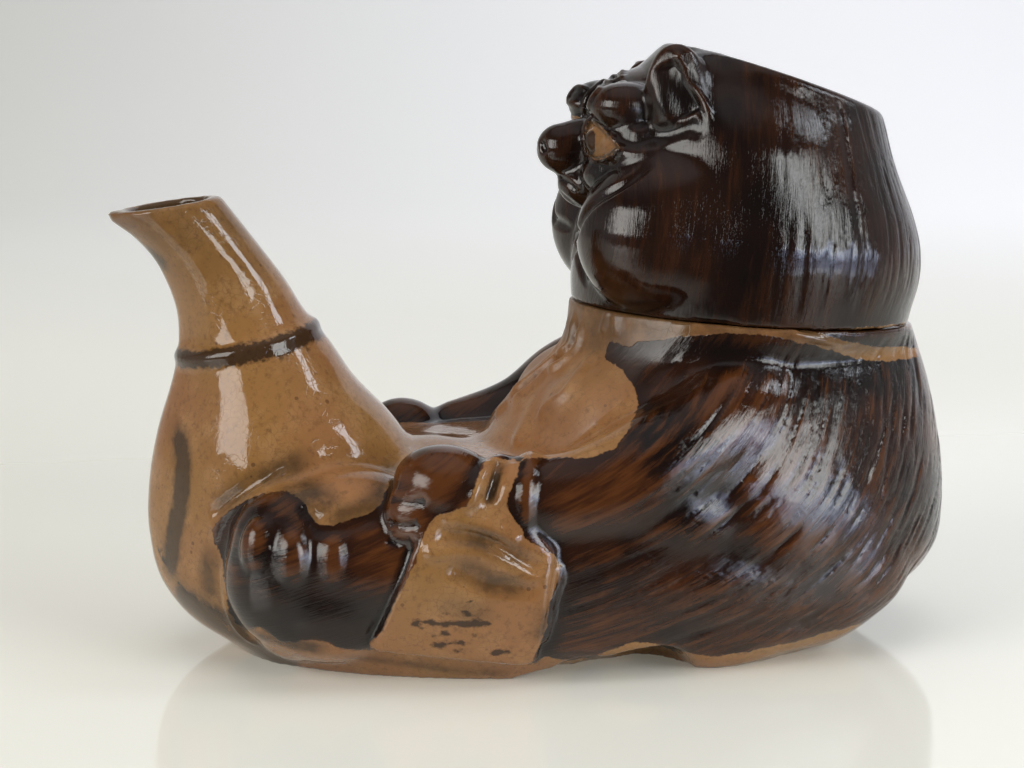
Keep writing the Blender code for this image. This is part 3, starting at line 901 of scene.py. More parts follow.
class Effect(Enum):
    """The surface effects that both glazes share, each one shader node group."""

    RAGGED = "ragged_edge"
    COMBED = "combed_streaks"
    CRAZED = "crazing"
    SPECKED = "kiln_specks"
    RIPPLED = "glaze_ripple"

    def tree(self) -> bpy.types.NodeTree:
        """The effect's node group, built when it is first asked for."""
        found = bpy.data.node_groups.get(self.value)
        return found or getattr(self, "build_" + self.value)()

    def placed(self, wiring: Wiring, values: Optional[dict] = None) -> bpy.types.Node:
        """The effect as a node in a material, with its own values."""
        return wiring.node("ShaderNodeGroup", values, node_tree=self.tree())

    def build_ragged_edge(self) -> bpy.types.NodeTree:
        """A mask with a ragged edge, from the distance inside a border.

        Returns:
            The node group.
        """
        inputs = {"Inside": (FLOAT, 0.0), "Raggedness": (FLOAT, 0.6), "Softness": (FLOAT, 0.25)}
        tree, wiring, given, taken = new_group(self.value, "ShaderNodeTree", inputs, {"Mask": FLOAT})
        place = wiring.place()
        coarse = wiring.noise(place, 260.0, 3.0, 0.6)
        fine = wiring.noise(place, 1100.0, 2.0, 0.6)
        wave = wiring.math("ADD", wiring.math("MULTIPLY", coarse, 2.0), fine)
        wave = wiring.math("MULTIPLY", wiring.math("SUBTRACT", wave, 1.5), given["Raggedness"])
        level = wiring.math("ADD", given["Inside"], wave)
        level = wiring.math("DIVIDE", level, given["Softness"])
        mask = wiring.math("ADD", level, 0.5, clamp=True)
        wiring.join(mask, taken["Mask"])
        return tree

    def build_combed_streaks(self) -> bpy.types.NodeTree:
        """Long streaks where the glaze ran thin over combed strokes.

        Returns:
            The node group.
        """
        inputs = {"Across": (FLOAT, 0.0), "Along": (FLOAT, 0.0), "Relief": (FLOAT, 0.0), "Pitch": (FLOAT, 2.0),
                  "Length": (FLOAT, 14.0), "Ridges": (FLOAT, 1.0)}
        outputs = {"Streak": FLOAT, "Height": FLOAT, "Cloud": FLOAT}
        tree, wiring, given, taken = new_group(self.value, "ShaderNodeTree", inputs, outputs)
        across = wiring.math("DIVIDE", given["Across"], given["Pitch"])
        along = wiring.math("DIVIDE", given["Along"], given["Length"])
        flow = wiring.node("ShaderNodeCombineXYZ", {0: across, 1: along, 2: 3.7}).outputs[0]
        broad = wiring.noise(flow, 0.55, 3.0, 0.62)
        fine = wiring.noise(flow, 1.9, 4.0, 0.7)
        place = wiring.place()
        cloud = wiring.noise(place, 38.0, 3.0, 0.55)
        thin = wiring.math("MULTIPLY", given["Relief"], given["Ridges"])
        level = wiring.math("ADD", wiring.math("MULTIPLY", broad, 0.9), wiring.math("MULTIPLY", fine, 0.55))
        level = wiring.math("ADD", wiring.math("ADD", level, thin), wiring.math("MULTIPLY", cloud, 0.5))
        wiring.join(wiring.span(level, 0.96, 1.34), taken["Streak"])
        wiring.join(fine, taken["Height"])
        wiring.join(cloud, taken["Cloud"])
        return tree

    def build_crazing(self) -> bpy.types.NodeTree:
        """The fine net of cracks in a glaze, and a bed of pale and dark patches.

        Returns:
            The node group.
        """
        inputs = {"Cells": (FLOAT, 520.0), "Line": (FLOAT, 0.05)}
        tree, wiring, given, taken = new_group(
            self.value, "ShaderNodeTree", inputs, {"Lines": FLOAT, "Patches": FLOAT})
        place = wiring.place()
        bend = wiring.node("ShaderNodeTexNoise", {"Vector": place, "Scale": 400.0, "Detail": 1.0})
        bent = wiring.node("ShaderNodeVectorMath", {0: bend.outputs["Color"], 1: (0.0022,) * 3}, operation="MULTIPLY")
        bent = wiring.node("ShaderNodeVectorMath", {0: place, 1: bent.outputs[0]}, operation="ADD").outputs[0]
        net = wiring.node("ShaderNodeTexVoronoi", {"Vector": bent, "Scale": given["Cells"]},
                          feature="DISTANCE_TO_EDGE").outputs["Distance"]
        line = wiring.math("SUBTRACT", 1.0, wiring.math("DIVIDE", net, given["Line"]), clamp=True)
        patches = wiring.noise(place, 120.0, 4.0, 0.6)
        wiring.join(wiring.math("MULTIPLY", line, wiring.span(patches, 0.35, 0.6)), taken["Lines"])
        wiring.join(patches, taken["Patches"])
        return tree

    def build_kiln_specks(self) -> bpy.types.NodeTree:
        """Small dark specks and pinholes.

        Returns:
            The node group.
        """
        inputs = {"Cells": (FLOAT, 300.0), "Size": (FLOAT, 0.16)}
        tree, wiring, given, taken = new_group(self.value, "ShaderNodeTree", inputs, {"Specks": FLOAT})
        place = wiring.place()
        dots = wiring.node("ShaderNodeTexVoronoi", {"Vector": place, "Scale": given["Cells"]})
        chance = wiring.node("ShaderNodeSeparateColor", {0: dots.outputs["Color"]}).outputs[0]
        size = wiring.math("MULTIPLY", given["Size"], wiring.span(chance, 0.7, 1.0))
        speck = wiring.math("LESS_THAN", dots.outputs["Distance"], size)
        wiring.join(speck, taken["Specks"])
        return tree

    def build_glaze_ripple(self) -> bpy.types.NodeTree:
        """The faint unevenness of a thick glaze.

        Returns:
            The node group.
        """
        inputs = {"Scale": (FLOAT, 90.0)}
        tree, wiring, given, taken = new_group(self.value, "ShaderNodeTree", inputs, {"Height": FLOAT})
        place = wiring.place()
        values = {"Vector": place, "Scale": given["Scale"], "Detail": 3.0, "Roughness": 0.45}
        wiring.join(wiring.node("ShaderNodeTexNoise", values).outputs[0], taken["Height"])
        return tree


@dataclass(frozen=True)
class DarkGlaze:
    """Dark brown glaze, amber where it ran thin over the combed strokes."""

    pooled: Place = (0.0055, 0.0028, 0.0022, 1)
    brown: Place = (0.030, 0.0092, 0.0034, 1)
    amber: Place = (0.115, 0.037, 0.0095, 1)
    pitch: float = 1.25
    length: float = 13.0
    ridges: float = 1.1
    streaks: float = 0.6

    def colour(self, wiring: Wiring, marks: dict) -> tuple[bpy.types.NodeSocket, bpy.types.NodeSocket]:
        """Lays the glaze's colour.

        Args:
            wiring: The material's nodes.
            marks: The sockets of the piece's marks, by name.

        Returns:
            The colour, and the height of its streaks.
        """
        values = {"Across": marks["across"], "Along": marks["along"], "Relief": marks["relief"],
                  "Pitch": self.pitch, "Length": self.length, "Ridges": self.ridges}
        streaks = Effect.COMBED.placed(wiring, values)
        base = wiring.mix(wiring.span(streaks.outputs["Cloud"], 0.35, 0.68), self.pooled, self.brown)
        pool = wiring.span(marks["relief"], -0.05, -0.35)
        # The stain_and_shade mark darkens the dark glaze and clears its amber: stains, and painted shade.
        pool = wiring.math("MAXIMUM", pool, marks["stain_and_shade"], clamp=True)
        base = wiring.mix(pool, base, self.pooled)
        clear = wiring.math("SUBTRACT", 1.0, wiring.math("MULTIPLY", marks["stain_and_shade"], 0.9), clamp=True)
        share = wiring.math("MULTIPLY", wiring.math("MULTIPLY", streaks.outputs["Streak"], self.streaks), clear)
        return wiring.mix(share, base, self.amber), streaks.outputs["Height"]


@dataclass(frozen=True)
class BuffGlaze:
    """Clear crazed glaze over buff clay, with smoky and iron stains, and painted shade in folds and grooves."""

    pink: Place = (0.235, 0.105, 0.040, 1)
    yellow: Place = (0.235, 0.117, 0.036, 1)
    pale: Place = (0.33, 0.18, 0.075, 1)
    line: Place = (0.09, 0.040, 0.018, 1)
    # Colour of stains and of painted shade in folds, grooves and along edges
    stain_and_shade: Place = (0.030, 0.019, 0.010, 1)
    ink: Place = (0.018, 0.009, 0.005, 1)

    def colour(self, wiring: Wiring, marks: dict) -> tuple[bpy.types.NodeSocket, bpy.types.NodeSocket]:
        """Lays the glaze's colour.

        Args:
            wiring: The material's nodes.
            marks: The sockets of the piece's marks, by name.

        Returns:
            The colour, and the height of its cracks.
        """
        crazing = Effect.CRAZED.placed(wiring)
        specks = Effect.SPECKED.placed(wiring)
        place = wiring.place()
        wide = wiring.noise(place, 26.0, 2.0, 0.5)
        base = wiring.mix(wiring.span(wide, 0.36, 0.66), self.pink, self.yellow)
        base = wiring.mix(wiring.span(crazing.outputs["Patches"], 0.42, 0.75, 0.0, 0.6), base, self.pale)
        base = wiring.mix(wiring.math("MULTIPLY", crazing.outputs["Lines"], 0.35), base, self.line)
        base = wiring.mix(wiring.math("MULTIPLY", specks.outputs["Specks"], 0.7), base, self.line)
        haze = wiring.noise(place, 180.0, 4.0, 0.65)
        freckles = wiring.noise(place, 700.0, 3.0, 0.7)
        base = wiring.mix(wiring.span(freckles, 0.5, 0.72, 0.0, 0.45), base, self.line)
        # The stain_and_shade mark lays real stains and painted shade in folds, grooves and along edges alike.
        stain_and_shade = wiring.math("MULTIPLY", marks["stain_and_shade"], wiring.span(haze, 0.25, 0.62, 0.4, 1.15), clamp=True)
        base = wiring.mix(wiring.math("MULTIPLY", stain_and_shade, 0.85), base, self.stain_and_shade)
        brush = wiring.noise(place, 420.0, 4.0, 0.7)
        stroke = wiring.math("SUBTRACT", marks["ink"], wiring.span(brush, 0.3, 0.7, 0.7, 0.1))
        stroke = wiring.math("MULTIPLY", stroke, 2.2, clamp=True)
        return wiring.mix(wiring.math("MULTIPLY", stroke, 0.88), base, self.ink), crazing.outputs["Lines"]


@dataclass(frozen=True)
class Glazing:
    """The whole finish of one piece: both glazes, and where each lies."""

    name: str
    dark: DarkGlaze
    buff: BuffGlaze
    raggedness: float = 0.8
    roughness: tuple[float, float] = (0.03, 0.10)
    ior: float = 1.46
    stroke_height: float = 0.00009
    ripple_height: float = 0.00026
    crack_depth: float = 0.00001
    marks: tuple[str, ...] = ("buff", "across", "along", "relief", "stain_and_shade", "ink", "dull")

    def material(self) -> bpy.types.Material:
        """Builds the piece's material.

        Returns:
            The material.
        """
        material = bpy.data.materials.new(self.name)
        material.use_nodes = True
        wiring = Wiring(material.node_tree)
        shader = material.node_tree.nodes["Principled BSDF"]
        marks = {name: wiring.node("ShaderNodeAttribute", attribute_name=name).outputs["Fac"]
                 for name in self.marks}
        edge = {"Inside": marks["buff"], "Raggedness": self.raggedness}
        mask = Effect.RAGGED.placed(wiring, edge).outputs["Mask"]
        dark, combed = self.dark.colour(wiring, marks)
        buff, cracks = self.buff.colour(wiring, marks)
        wiring.join(wiring.mix(mask, dark, buff), shader.inputs["Base Color"])
        ripple = Effect.RIPPLED.placed(wiring)
        worn = wiring.noise(wiring.place(), 60.0, 4.0, 0.6)
        rough = wiring.math("ADD", wiring.span(worn, 0.35, 0.7, *self.roughness), marks["dull"])
        wiring.join(rough, shader.inputs["Roughness"])
        strokes = wiring.math("MULTIPLY", combed, wiring.math("SUBTRACT", 1.0, mask))
        height = wiring.math("MULTIPLY", strokes, self.stroke_height)
        waves = wiring.math("MULTIPLY", ripple.outputs["Height"], self.ripple_height)
        cracks = wiring.math("MULTIPLY", wiring.math("MULTIPLY", cracks, mask), self.crack_depth)
        height = wiring.math("SUBTRACT", wiring.math("ADD", height, waves), cracks)
        bump = wiring.node("ShaderNodeBump", {"Height": height, "Distance": 1.0, "Strength": 1.0})
        wiring.join(bump.outputs[0], shader.inputs["Normal"])
        shader.inputs["IOR"].default_value = self.ior
        shader.inputs["Metallic"].default_value = 0.0
        return material


@dataclass(frozen=True)
class Comb:
    """A comb that presses irregular strokes into the clay, as a Geometry Nodes tree."""

    name: str
    depth: float
    pitch: float
    length: float
    seed: int
    groove: tuple[float, float] = (0.54, 0.68)

    def tree(self) -> bpy.types.NodeTree:
        """The comb's node tree, with its sizes as named inputs.

        Returns:
            The tree.
        """
        inputs = {"Geometry": ("NodeSocketGeometry", None), "Depth": (FLOAT, 0.0005), "Pitch": (FLOAT, 2.0),
                  "Length": (FLOAT, 15.0), "Seed": (FLOAT, 1.0), "Glaze": ("NodeSocketMaterial", None)}
        tree, wiring, given, taken = new_group(
            "combed_strokes", "GeometryNodeTree", inputs, {"Geometry": "NodeSocketGeometry"})

        def kept(name: str) -> bpy.types.NodeSocket:
            """One of the piece's marks."""
            return wiring.node("GeometryNodeInputNamedAttribute", {"Name": name}, data_type="FLOAT").outputs[0]

        across = wiring.math("DIVIDE", kept("across"), given["Pitch"])
        along = wiring.math("DIVIDE", kept("along"), given["Length"])
        flow = wiring.node("ShaderNodeCombineXYZ", {0: across, 1: along, 2: 0.0}).outputs[0]
        values = {"Vector": flow, "W": given["Seed"], "Scale": 1.0, "Detail": 1.5, "Roughness": 0.5}
        noise = wiring.node("ShaderNodeTexNoise", values, noise_dimensions="4D").outputs[0]
        groove = wiring.span(noise, *self.groove)
        lift = wiring.math("MULTIPLY", wiring.math("MULTIPLY", groove, kept("fur")), given["Depth"])
        lift = wiring.math("MULTIPLY", lift, -1.0)
        normal = wiring.node("GeometryNodeInputNormal").outputs[0]
        offset = wiring.node("ShaderNodeVectorMath", {0: normal, "Scale": lift}, operation="SCALE").outputs[0]
        pressed = wiring.node("GeometryNodeSetPosition", {"Geometry": given["Geometry"], "Offset": offset})
        real = wiring.node("GeometryNodeRealizeInstances", {"Geometry": pressed.outputs[0]})
        glazed = wiring.node("GeometryNodeSetMaterial", {"Geometry": real.outputs[0], "Material": given["Glaze"]})
        wiring.join(glazed.outputs[0], taken["Geometry"])
        return tree

    def press(self, obj: bpy.types.Object, material: bpy.types.Material) -> None:
        """Presses the strokes into an object's mesh.

        Args:
            obj: The piece, which carries the marks across, along and fur.
            material: The glaze that it gets.
        """
        modifier = obj.modifiers.new(self.name, "NODES")
        modifier.node_group = bpy.data.node_groups.get("combed_strokes") or self.tree()
        values = {"Depth": self.depth * UNIT, "Pitch": self.pitch, "Length": self.length,
                  "Seed": float(self.seed), "Glaze": material}
        for socket in modifier.node_group.interface.items_tree:
            if socket.name in values and socket.in_out == "INPUT":
                modifier[socket.identifier] = values[socket.name]
        applied(obj)


@dataclass(frozen=True)
class Flow:
    """How the strokes run over a barrel: the lean in degrees at its foot and at its shoulder."""

    middle: float
    radius: float
    foot: float
    shoulder: float
    height: float = 76.0
    steepens: bool = False

    def marks(self, places: np.ndarray) -> tuple[np.ndarray, np.ndarray]:
        """The distances across and along the strokes, for each place.

        Args:
            places: Figure millimetres, one row each.

        Returns:
            Both distances.
        """
        x, y, z = places.T
        turn = np.arctan2(np.abs(y), np.maximum(x - self.middle, 1e-3))
        length = np.where(x < self.middle, x, self.middle + self.radius * (math.pi / 2 - turn))
        steeper = 0.65 * length + 0.45 * np.clip(length, 0, 70) ** 2 / 70 + 0.9 * np.maximum(length - 70, 0)
        length = steeper if self.steepens else length
        angle = np.radians(self.foot + (self.shoulder - self.foot) * np.clip(z / self.height, 0, 1))
        mean = math.radians((self.foot + self.shoulder) / 2)
        climb, along = z / math.tan(mean), z / math.sin(mean)
        if self.shoulder != self.foot:
            rate = math.radians(self.shoulder - self.foot) / self.height
            climb, along = np.log(np.sin(angle)) / rate, np.log(np.tan(angle / 2)) / rate
        return (length - climb) * math.sin(mean) + np.sign(y) * 41.0, along


# Outlines in the picture
DARK_ON_BODY = (
    (213, 537), (214, 526), (221, 517), (235, 507), (247, 499), (262, 494), (272, 492), (283, 491.5),
    (294, 494), (303, 501), (308, 511), (313, 520), (320, 526), (330, 526), (343, 522), (356, 517.5),
    (368, 513), (378, 508), (384, 499), (388, 487), (390, 474), (393, 463), (400, 455), (408, 449),
    (420, 443), (432, 440), (450, 439), (470, 441), (486, 446), (500, 451), (515, 456), (530, 458),
    (560, 458), (590, 457), (613, 452), (624, 437), (634, 419), (638, 403), (635, 387), (624, 374),
    (617, 365), (606, 359), (596, 354), (588, 349), (590, 343), (600, 341), (616, 343), (632, 347),
    (637, 342), (654, 340), (672, 337), (690, 336), (705, 335), (720, 334), (745, 334), (765, 334),
    (778, 337), (795, 341), (818, 346), (835, 352), (850, 357), (873, 361), (890, 361), (905, 359),
    (960, 352), (960, 590), (940, 596), (917, 612), (888, 622), (852, 626), (815, 636), (785, 645),
    (754, 650), (723, 655), (698, 655), (675, 650), (654, 643), (629, 643), (615, 648), (600, 655),
    (580, 661), (562, 660), (553, 657), (545, 656), (531, 665), (503, 667), (467, 665), (431, 660),
    (396, 655), (371, 650), (354, 650), (338, 649), (330, 644), (319, 640.5), (303, 640), (297, 642),
    (276, 641), (269, 632), (262, 628), (247, 629), (240, 628), (237, 626), (228, 609), (226, 591),
    (222, 560), (216, 545),
)
NECK_RIM = (
    (762, 317), (790, 320), (820, 322), (860, 325), (905, 328), (930, 332), (930, 350), (905, 347), (873, 346),
    (850, 343), (833, 336), (818, 333), (795, 327), (778, 322),
)
BOOK = (
    (489, 455), (502, 458), (512, 458), (520, 462), (518, 472), (513, 486), (508, 500), (507, 508),
    (511, 517), (520, 529), (526, 539), (540, 547), (555, 555), (561, 566), (559, 577), (551, 597),
    (547, 628), (541, 643), (531, 664), (503, 671), (467, 669), (431, 664), (396, 658), (371, 652),
    (370, 642), (383, 629), (388, 617), (394, 604), (400, 592), (408, 577), (416, 562), (419, 548),
    (423, 538), (428, 524), (436, 516), (447, 512), (460, 509), (468, 506), (473, 492), (478, 478),
    (484, 464),
)
EYE = (
    (592, 119), (600, 125), (609, 134), (620.5, 147.5), (615, 152), (611.5, 155.5), (603, 159),
    (595, 160.5), (588, 155), (584.5, 142), (585, 129), (588, 122),
)

# Lines in the picture: points, half width, and height or depth in figure millimetres.
# These are the folds of the belly and the arm.
BODY_FOLDS = (
    (((572, 309), (574, 326), (571, 343), (562, 353), (545, 368), (526, 383), (517, 391), (514, 402),
      (517, 416)), 2.5, 1.3),
    (((581, 317), (579, 343), (565, 360), (547, 373), (536, 385), (521, 396), (519, 405),
      (526, 412)), 2.2, 1.2),
    (((601, 352), (585, 366), (565, 393), (549, 404), (543, 411), (538, 424)), 2.4, 1.0),
    (((577, 322), (575, 345), (556, 362), (534, 381), (522, 391)), 2.0, -1.2),
    (((608, 311), (601, 334)), 1.6, 0.5),
    (((615, 313), (616, 336)), 1.6, 0.5),
    (((777, 331), (815, 338), (850, 348), (873, 355), (900, 352)), 1.6, 0.7),
    (((765, 322), (795, 330), (850, 341), (875, 347)), 1.3, -0.5),
)
# Edges and grooves of the foot, beside the flask
FLASK_LINES = (
    (((213, 545), (215, 528), (226, 513), (247, 497), (266, 485), (283, 473), (296, 468)), 1.6, 0.7),
    (((210, 520), (222, 508), (247, 489), (270, 474), (290, 463)), 2.4, -0.6),
    (((223, 556), (225, 590), (229, 612), (240, 632), (262, 648)), 1.5, 0.5),
    (((300, 500), (309, 515), (320, 529), (345, 526), (380, 512)), 3.0, -0.6),
)
# Folds and edges of the account book and its strap, and the grooves between the fingers
BOOK_LINES = (
    (((418, 545), (408, 575), (396, 600), (386, 622), (371, 648)), 1.8, 0.5),
    (((413, 541), (402, 572), (389, 600), (379, 622), (366, 640)), 1.8, -0.4),
    (((556, 562), (557, 580), (551, 600), (547, 626), (541, 645)), 2.2, 0.9),
    (((421, 549), (436, 554), (455, 551), (478, 553), (500, 561), (520, 574), (540, 584)), 2.6, 1.0),
    (((434, 532), (455, 537), (478, 539), (500, 547), (520, 560), (545, 572)), 3.0, -1.0),
    (((448, 565), (466, 575), (490, 585), (540, 588)), 3.2, -0.9),
    (((440, 520), (465, 522), (490, 530), (520, 545)), 2.4, 0.5),
    (((487, 460), (480, 480), (471, 507)), 1.5, 0.6),
    (((501, 458), (495, 480), (487, 505)), 1.5, -1.2),
    (((513, 462), (508, 485), (500, 508)), 1.7, 0.6),
    (((390, 499), (405, 503), (426, 503)), 1.6, -0.5),
    (((388, 522), (401, 526), (420, 525)), 1.4, -0.6),
    (((386, 541), (398, 543), (412, 541)), 1.4, -0.4),
)
# Strokes in the picture: points, half width and strength. These are the painted marks on the flask.
FLASK_STROKES = (
    (((174, 578), (187, 592), (201, 602)), 0.8, 0.9),
    (((206, 605), (219, 614), (233, 623)), 0.8, 0.8),
    (((157, 545), (163, 558), (170, 566)), 1.0, 0.9),
)
# Smoke stains down the flask and along the foot
FLASK_SMOKE = (
    (((169, 418), (176, 432), (181, 447), (183, 468), (181, 490), (177, 515), (173.5, 535), (171, 555),
      (169, 572), (172, 584)), 2.3, 1.9),
    (((172, 584), (186, 600), (205, 614), (230, 628), (258, 640)), 5.0, 1.5),
    (((214, 548), (208, 565), (209, 585), (215, 605)), 2.6, 0.7),
    (((213, 519), (230, 502), (250, 488), (275, 474), (300, 462), (318, 456)), 2.6, 0.75),
    (((290, 480), (306, 494), (318, 508), (326, 518)), 4.2, 0.9),
    (((318, 520), (340, 516), (365, 508), (384, 492), (390, 468)), 2.2, 0.7),
    (((176, 606), (196, 624), (225, 640), (262, 654), (300, 664)), 6.0, 1.8),
    (((250, 636), (275, 640), (300, 646), (330, 650)), 2.2, 0.9),
    (((300, 668), (380, 678), (460, 684), (540, 682)), 3.6, 1.2),
    (((340, 655), (400, 663), (470, 672), (520, 672)), 1.2, 0.6),
)
# Painted shade in the folds of book and strap and along the edges of book and wrist, and a few faint stains
BOOK_SHADE_AND_STAIN = (
    (((445, 533), (465, 536), (485, 541), (508, 551), (532, 569)), 2.6, 0.8),
    (((452, 560), (474, 573), (500, 584), (535, 582)), 2.6, 0.75),
    (((500, 460), (494, 482), (486, 505)), 1.3, 1.3),
    (((548, 600), (545, 625), (536, 645)), 2.0, 0.7),
    (((430, 600), (470, 612), (500, 606)), 2.4, 0.4),
    (((395, 455), (388, 475), (384, 500)), 1.8, 0.6),
    (((596, 336), (590, 345), (600, 352)), 1.5, 0.5),
)
# Grooves and ridges of face, cheek and ear
HEAD_LINES = (
    (((673, 49), (682, 64), (687, 78), (696, 92), (705, 106), (710, 119), (709, 130), (710, 141)), 1.5, 0.9),
    (((679, 62), (687, 78), (695, 94), (701, 108), (705, 122), (705, 134)), 1.5, -0.8),
    (((666, 60), (671, 76), (678, 92), (685, 106), (691, 118)), 5.0, -1.5),
    (((612, 132), (630, 140), (650, 138), (675, 130), (692, 128), (706, 141)), 3.2, -1.2),
    (((655, 162), (643, 171), (624, 184), (612, 191), (597, 200), (584, 214), (577, 232), (576, 250),
      (581, 270), (590, 288)), 2.0, -0.9),
    (((588, 116), (591, 101), (599, 90), (609, 83), (625, 78)), 1.3, 0.7),
    (((583, 115), (587, 98), (597, 86), (609, 78), (628, 71)), 1.2, 0.5),
    (((585, 116), (589, 100), (598, 88), (610, 80), (628, 74)), 1.1, -0.5),
    (((577, 122), (580, 134), (578, 150), (572, 162)), 2.0, -0.4),
    (((549, 171), (558, 172), (566, 176), (576, 183), (583, 189)), 1.4, 0.3),
    (((551, 176), (559, 177), (568, 182), (577, 191)), 1.2, -0.55),
    (((560, 192), (567, 198), (578, 207)), 1.3, -0.3),
)
# Rows of brush marks on the book: height in the picture, and where each begins and how long it is
BOOK_MARKS = (
    (604, ((456, 6), (468, 4))),
    (614, ((449, 3), (460, 9), (476, 3))),
    (624, ((415, 8), (430, 5), (443, 9), (459, 4), (470, 9), (486, 3))),
    (634, ((428, 4), (439, 8), (455, 5), (468, 4))),
    (643, ((433, 9), (449, 3), (460, 8))),
    (653, ((458, 7), (491, 8), (506, 4))),
)


@dataclass
class GlazedPiece:
    """A piece of the bottle that is formed in clay, combed, thinned and glazed."""

    node: str = ""
    slot: str = ""
    rim_land: float = 5.0
    flange_depth: float = 8.0
    flange_clearance: float = 1.0
    triangles: int = 0
    flow: Optional[Flow] = None
    combs: tuple[Comb, ...] = ()
    glazing: Optional[Glazing] = None

    def mark_flow(self, skin: Skin) -> None:
        """Marks how far each place lies across and along the strokes."""
        for name, values in zip(("across", "along"), self.flow.marks(skin.places)):
            skin.mark(name, values)

    def build(self) -> bpy.types.Object:
        """Builds the dressed piece.

        Returns:
            The piece, in the place of its CAD node.
        """
        material = self.glazing.material()
        obj = self.form()
        skin = Skin(obj)
        self.shape(skin)
        skin.write()
        self.work(skin)
        self.mark_flow(skin)
        skin.mark("fur", self.fur(skin.places))
        skin.write()
        for comb in self.combs:
            comb.press(obj, material)
        thin(obj, self.triangles)
        skin = Skin(obj)
        skin.keep_within(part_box(self.node))
        skin.write()
        self.mark_flow(skin)
        skin.mark("relief", skin.relief(RELIEF_ROUNDS))
        self.paint(skin)
        return settle(obj, self.node, material)


@dataclass
class Body(GlazedPiece):
    """The hollow body with the flask, feet, strap and account book."""

    node: str = "bottle_body"
    slot: str = "body_glaze"
    wall: float = 5.0
    floor: float = 5.5
    bore: float = 16.8
    book_thickness: float = 3.0
    strap_radius: float = 2.2
    cord_width: float = 3.8
    triangles: int = 158000
    flow: Flow = Flow(42.0, 50.0, 16.0, 56.0, steepens=True)
    combs: tuple[Comb, ...] = (
        Comb("locks", 0.26, 5.2, 40.0, 3), Comb("strokes", 0.3, 2.4, 22.0, 7), Comb("hairs", 0.16, 1.3, 13.0, 12),
    )
    glazing: Glazing = Glazing("body_glaze", DarkGlaze(), BuffGlaze())

    def add_legs(self, clay: Clay) -> None:
        """Haunches, and legs stretched forward round the flask to upright feet.

        Args:
            clay: The forms that they join.
        """
        places = [(60, 22, 22), (38, 27, 22), (8, 30, 22), (-24, 30, 24), (-50, 28, 26)]
        clay.limbs(places, [23, 21, 17.5, 17.5, 17])
        clay.limbs([(-58, 25, 14), (-60.5, 29.5, 22), (-59.5, 29.5, 30)], [11.5, 14.2, 13.6])
        clay.pair((-51, 27.5, 18), (19, 17, 15))
        clay.pair((24, 30, 36), (34, 19.5, 15))
        clay.pair((-47, 28, 33), (18, 14.5, 13))

    def add_arms(self, clay: Clay) -> None:
        """The near arm, whose wrist carries the strap, and the far arm, whose hand rests on the knee.

        Args:
            clay: The forms that they join.
        """
        near = [(60, -20, 56), (42, -32, 56), (22, -38, 47.5), (2, -40.5, 41), (-14, -41, 41)]
        clay.limb(near, [12, 14.5, 13, 10.5, 8.8])
        clay.ball((-27, -39.5, 43.5), (12, 10.5, 9), (0, 12, 0))
        far = [(58, 20, 56), (40, 32, 58), (16, 37.5, 54), (0, 37, 45.5), (-16, 34, 42)]
        clay.limb(far, [12, 14, 11.5, 9, 7.5])
        clay.ball((-29, 31, 43.5), (9.5, 8.5, 7.5), (0, 10, 0))

    def masses(self) -> bpy.types.Object:
        """The large forms: bowl of the seat, trunk, flask, lap, limbs and belly.

        Returns:
            One skin over all of them.
        """
        clay = Clay()
        clay.stack(BOWL, -3, 46)
        clay.stack(TORSO, 3, 82)
        clay.stack(FLASK, -3, 106, beak=0.45)
        clay.ball((-28, 0, 28), (34, 30, 19))
        clay.pair((15, 16, 50.5), (19.5, 18.5, 16.5))
        self.add_legs(clay)
        self.add_arms(clay)
        return clay.skin(self.node + "_masses", 1.0, 13)

    def laid_on(self, clay: Clay, tree: BVHTree, corners: Sequence[Place], crown: float) -> None:
        """Adds the book: a smooth sheet between four corners, laid on the near side of the leg.

        Args:
            clay: The forms that it joins.
            tree: The skin that it lies on.
            corners: Places (x, z), round from low left.
            crown: How far the upper edge swells.
        """
        low_left, low_right, high_right, high_left = [spot(x, 0, z) for x, z in corners]
        columns, rows = 28, 24
        places, terms, known, depths = [], [], [], []
        for r in range(rows + 1):
            v = r / rows
            left, right = low_left.lerp(high_left, v), low_right.lerp(high_right, v)
            for c in range(columns + 1):
                u = c / columns
                place = left.lerp(right, u)
                place.z += crown * UNIT * 4 * u * (1 - u) * v * v
                hit = tree.ray_cast(Vector((place.x, -UNIT * FIGURE_LENGTH, place.z)), Vector((0, 1, 0)))[0]
                if hit:
                    known.append(len(places))
                    depths.append(hit.y)
                places.append(place)
                terms.append((1, u, v, u * v, u * u, v * v))
        terms = np.array(terms)
        curve = np.linalg.lstsq(terms[known], np.array(depths), rcond=None)[0]
        thick = self.book_thickness * UNIT
        fronts, backs = [], []
        for place, depth in zip(places, terms @ curve):
            fronts.append(clay.bm.verts.new((place.x, depth - thick, place.z)))
            backs.append(clay.bm.verts.new((place.x, depth + 2 * thick, place.z)))
        width = columns + 1
        for r in range(rows):
            for c in range(columns):
                i = r * width + c
                square = (i, i + 1, i + width + 1, i + width)
                clay.bm.faces.new([fronts[k] for k in square])
                clay.bm.faces.new([backs[k] for k in reversed(square)])
        edge = list(range(columns))
        edge += [r * width + columns for r in range(rows)]
        edge += [rows * width + c for c in range(columns, 0, -1)]
        edge += [r * width for r in range(rows, 0, -1)]
        for i, j in zip(edge, edge[1:] + edge[:1]):
            clay.bm.faces.new((fronts[j], fronts[i], backs[i], backs[j]))

    def add_toes(self, clay: Clay) -> None:
        """Three knuckles side by side on each foot, and the near hand's fingers.

        Args:
            clay: The forms that they join.
        """
        for side in SIDES:
            for x, y, z in ((-66.8, 38.3, 31), (-60.2, 40.9, 29.2), (-51.6, 41.2, 28.2)):
                clay.ball((x, side * y, z), (4.4, 4.3, 7))
        clay.ball((-30.5, -41.6, 38), (10, 6.8, 10.5))

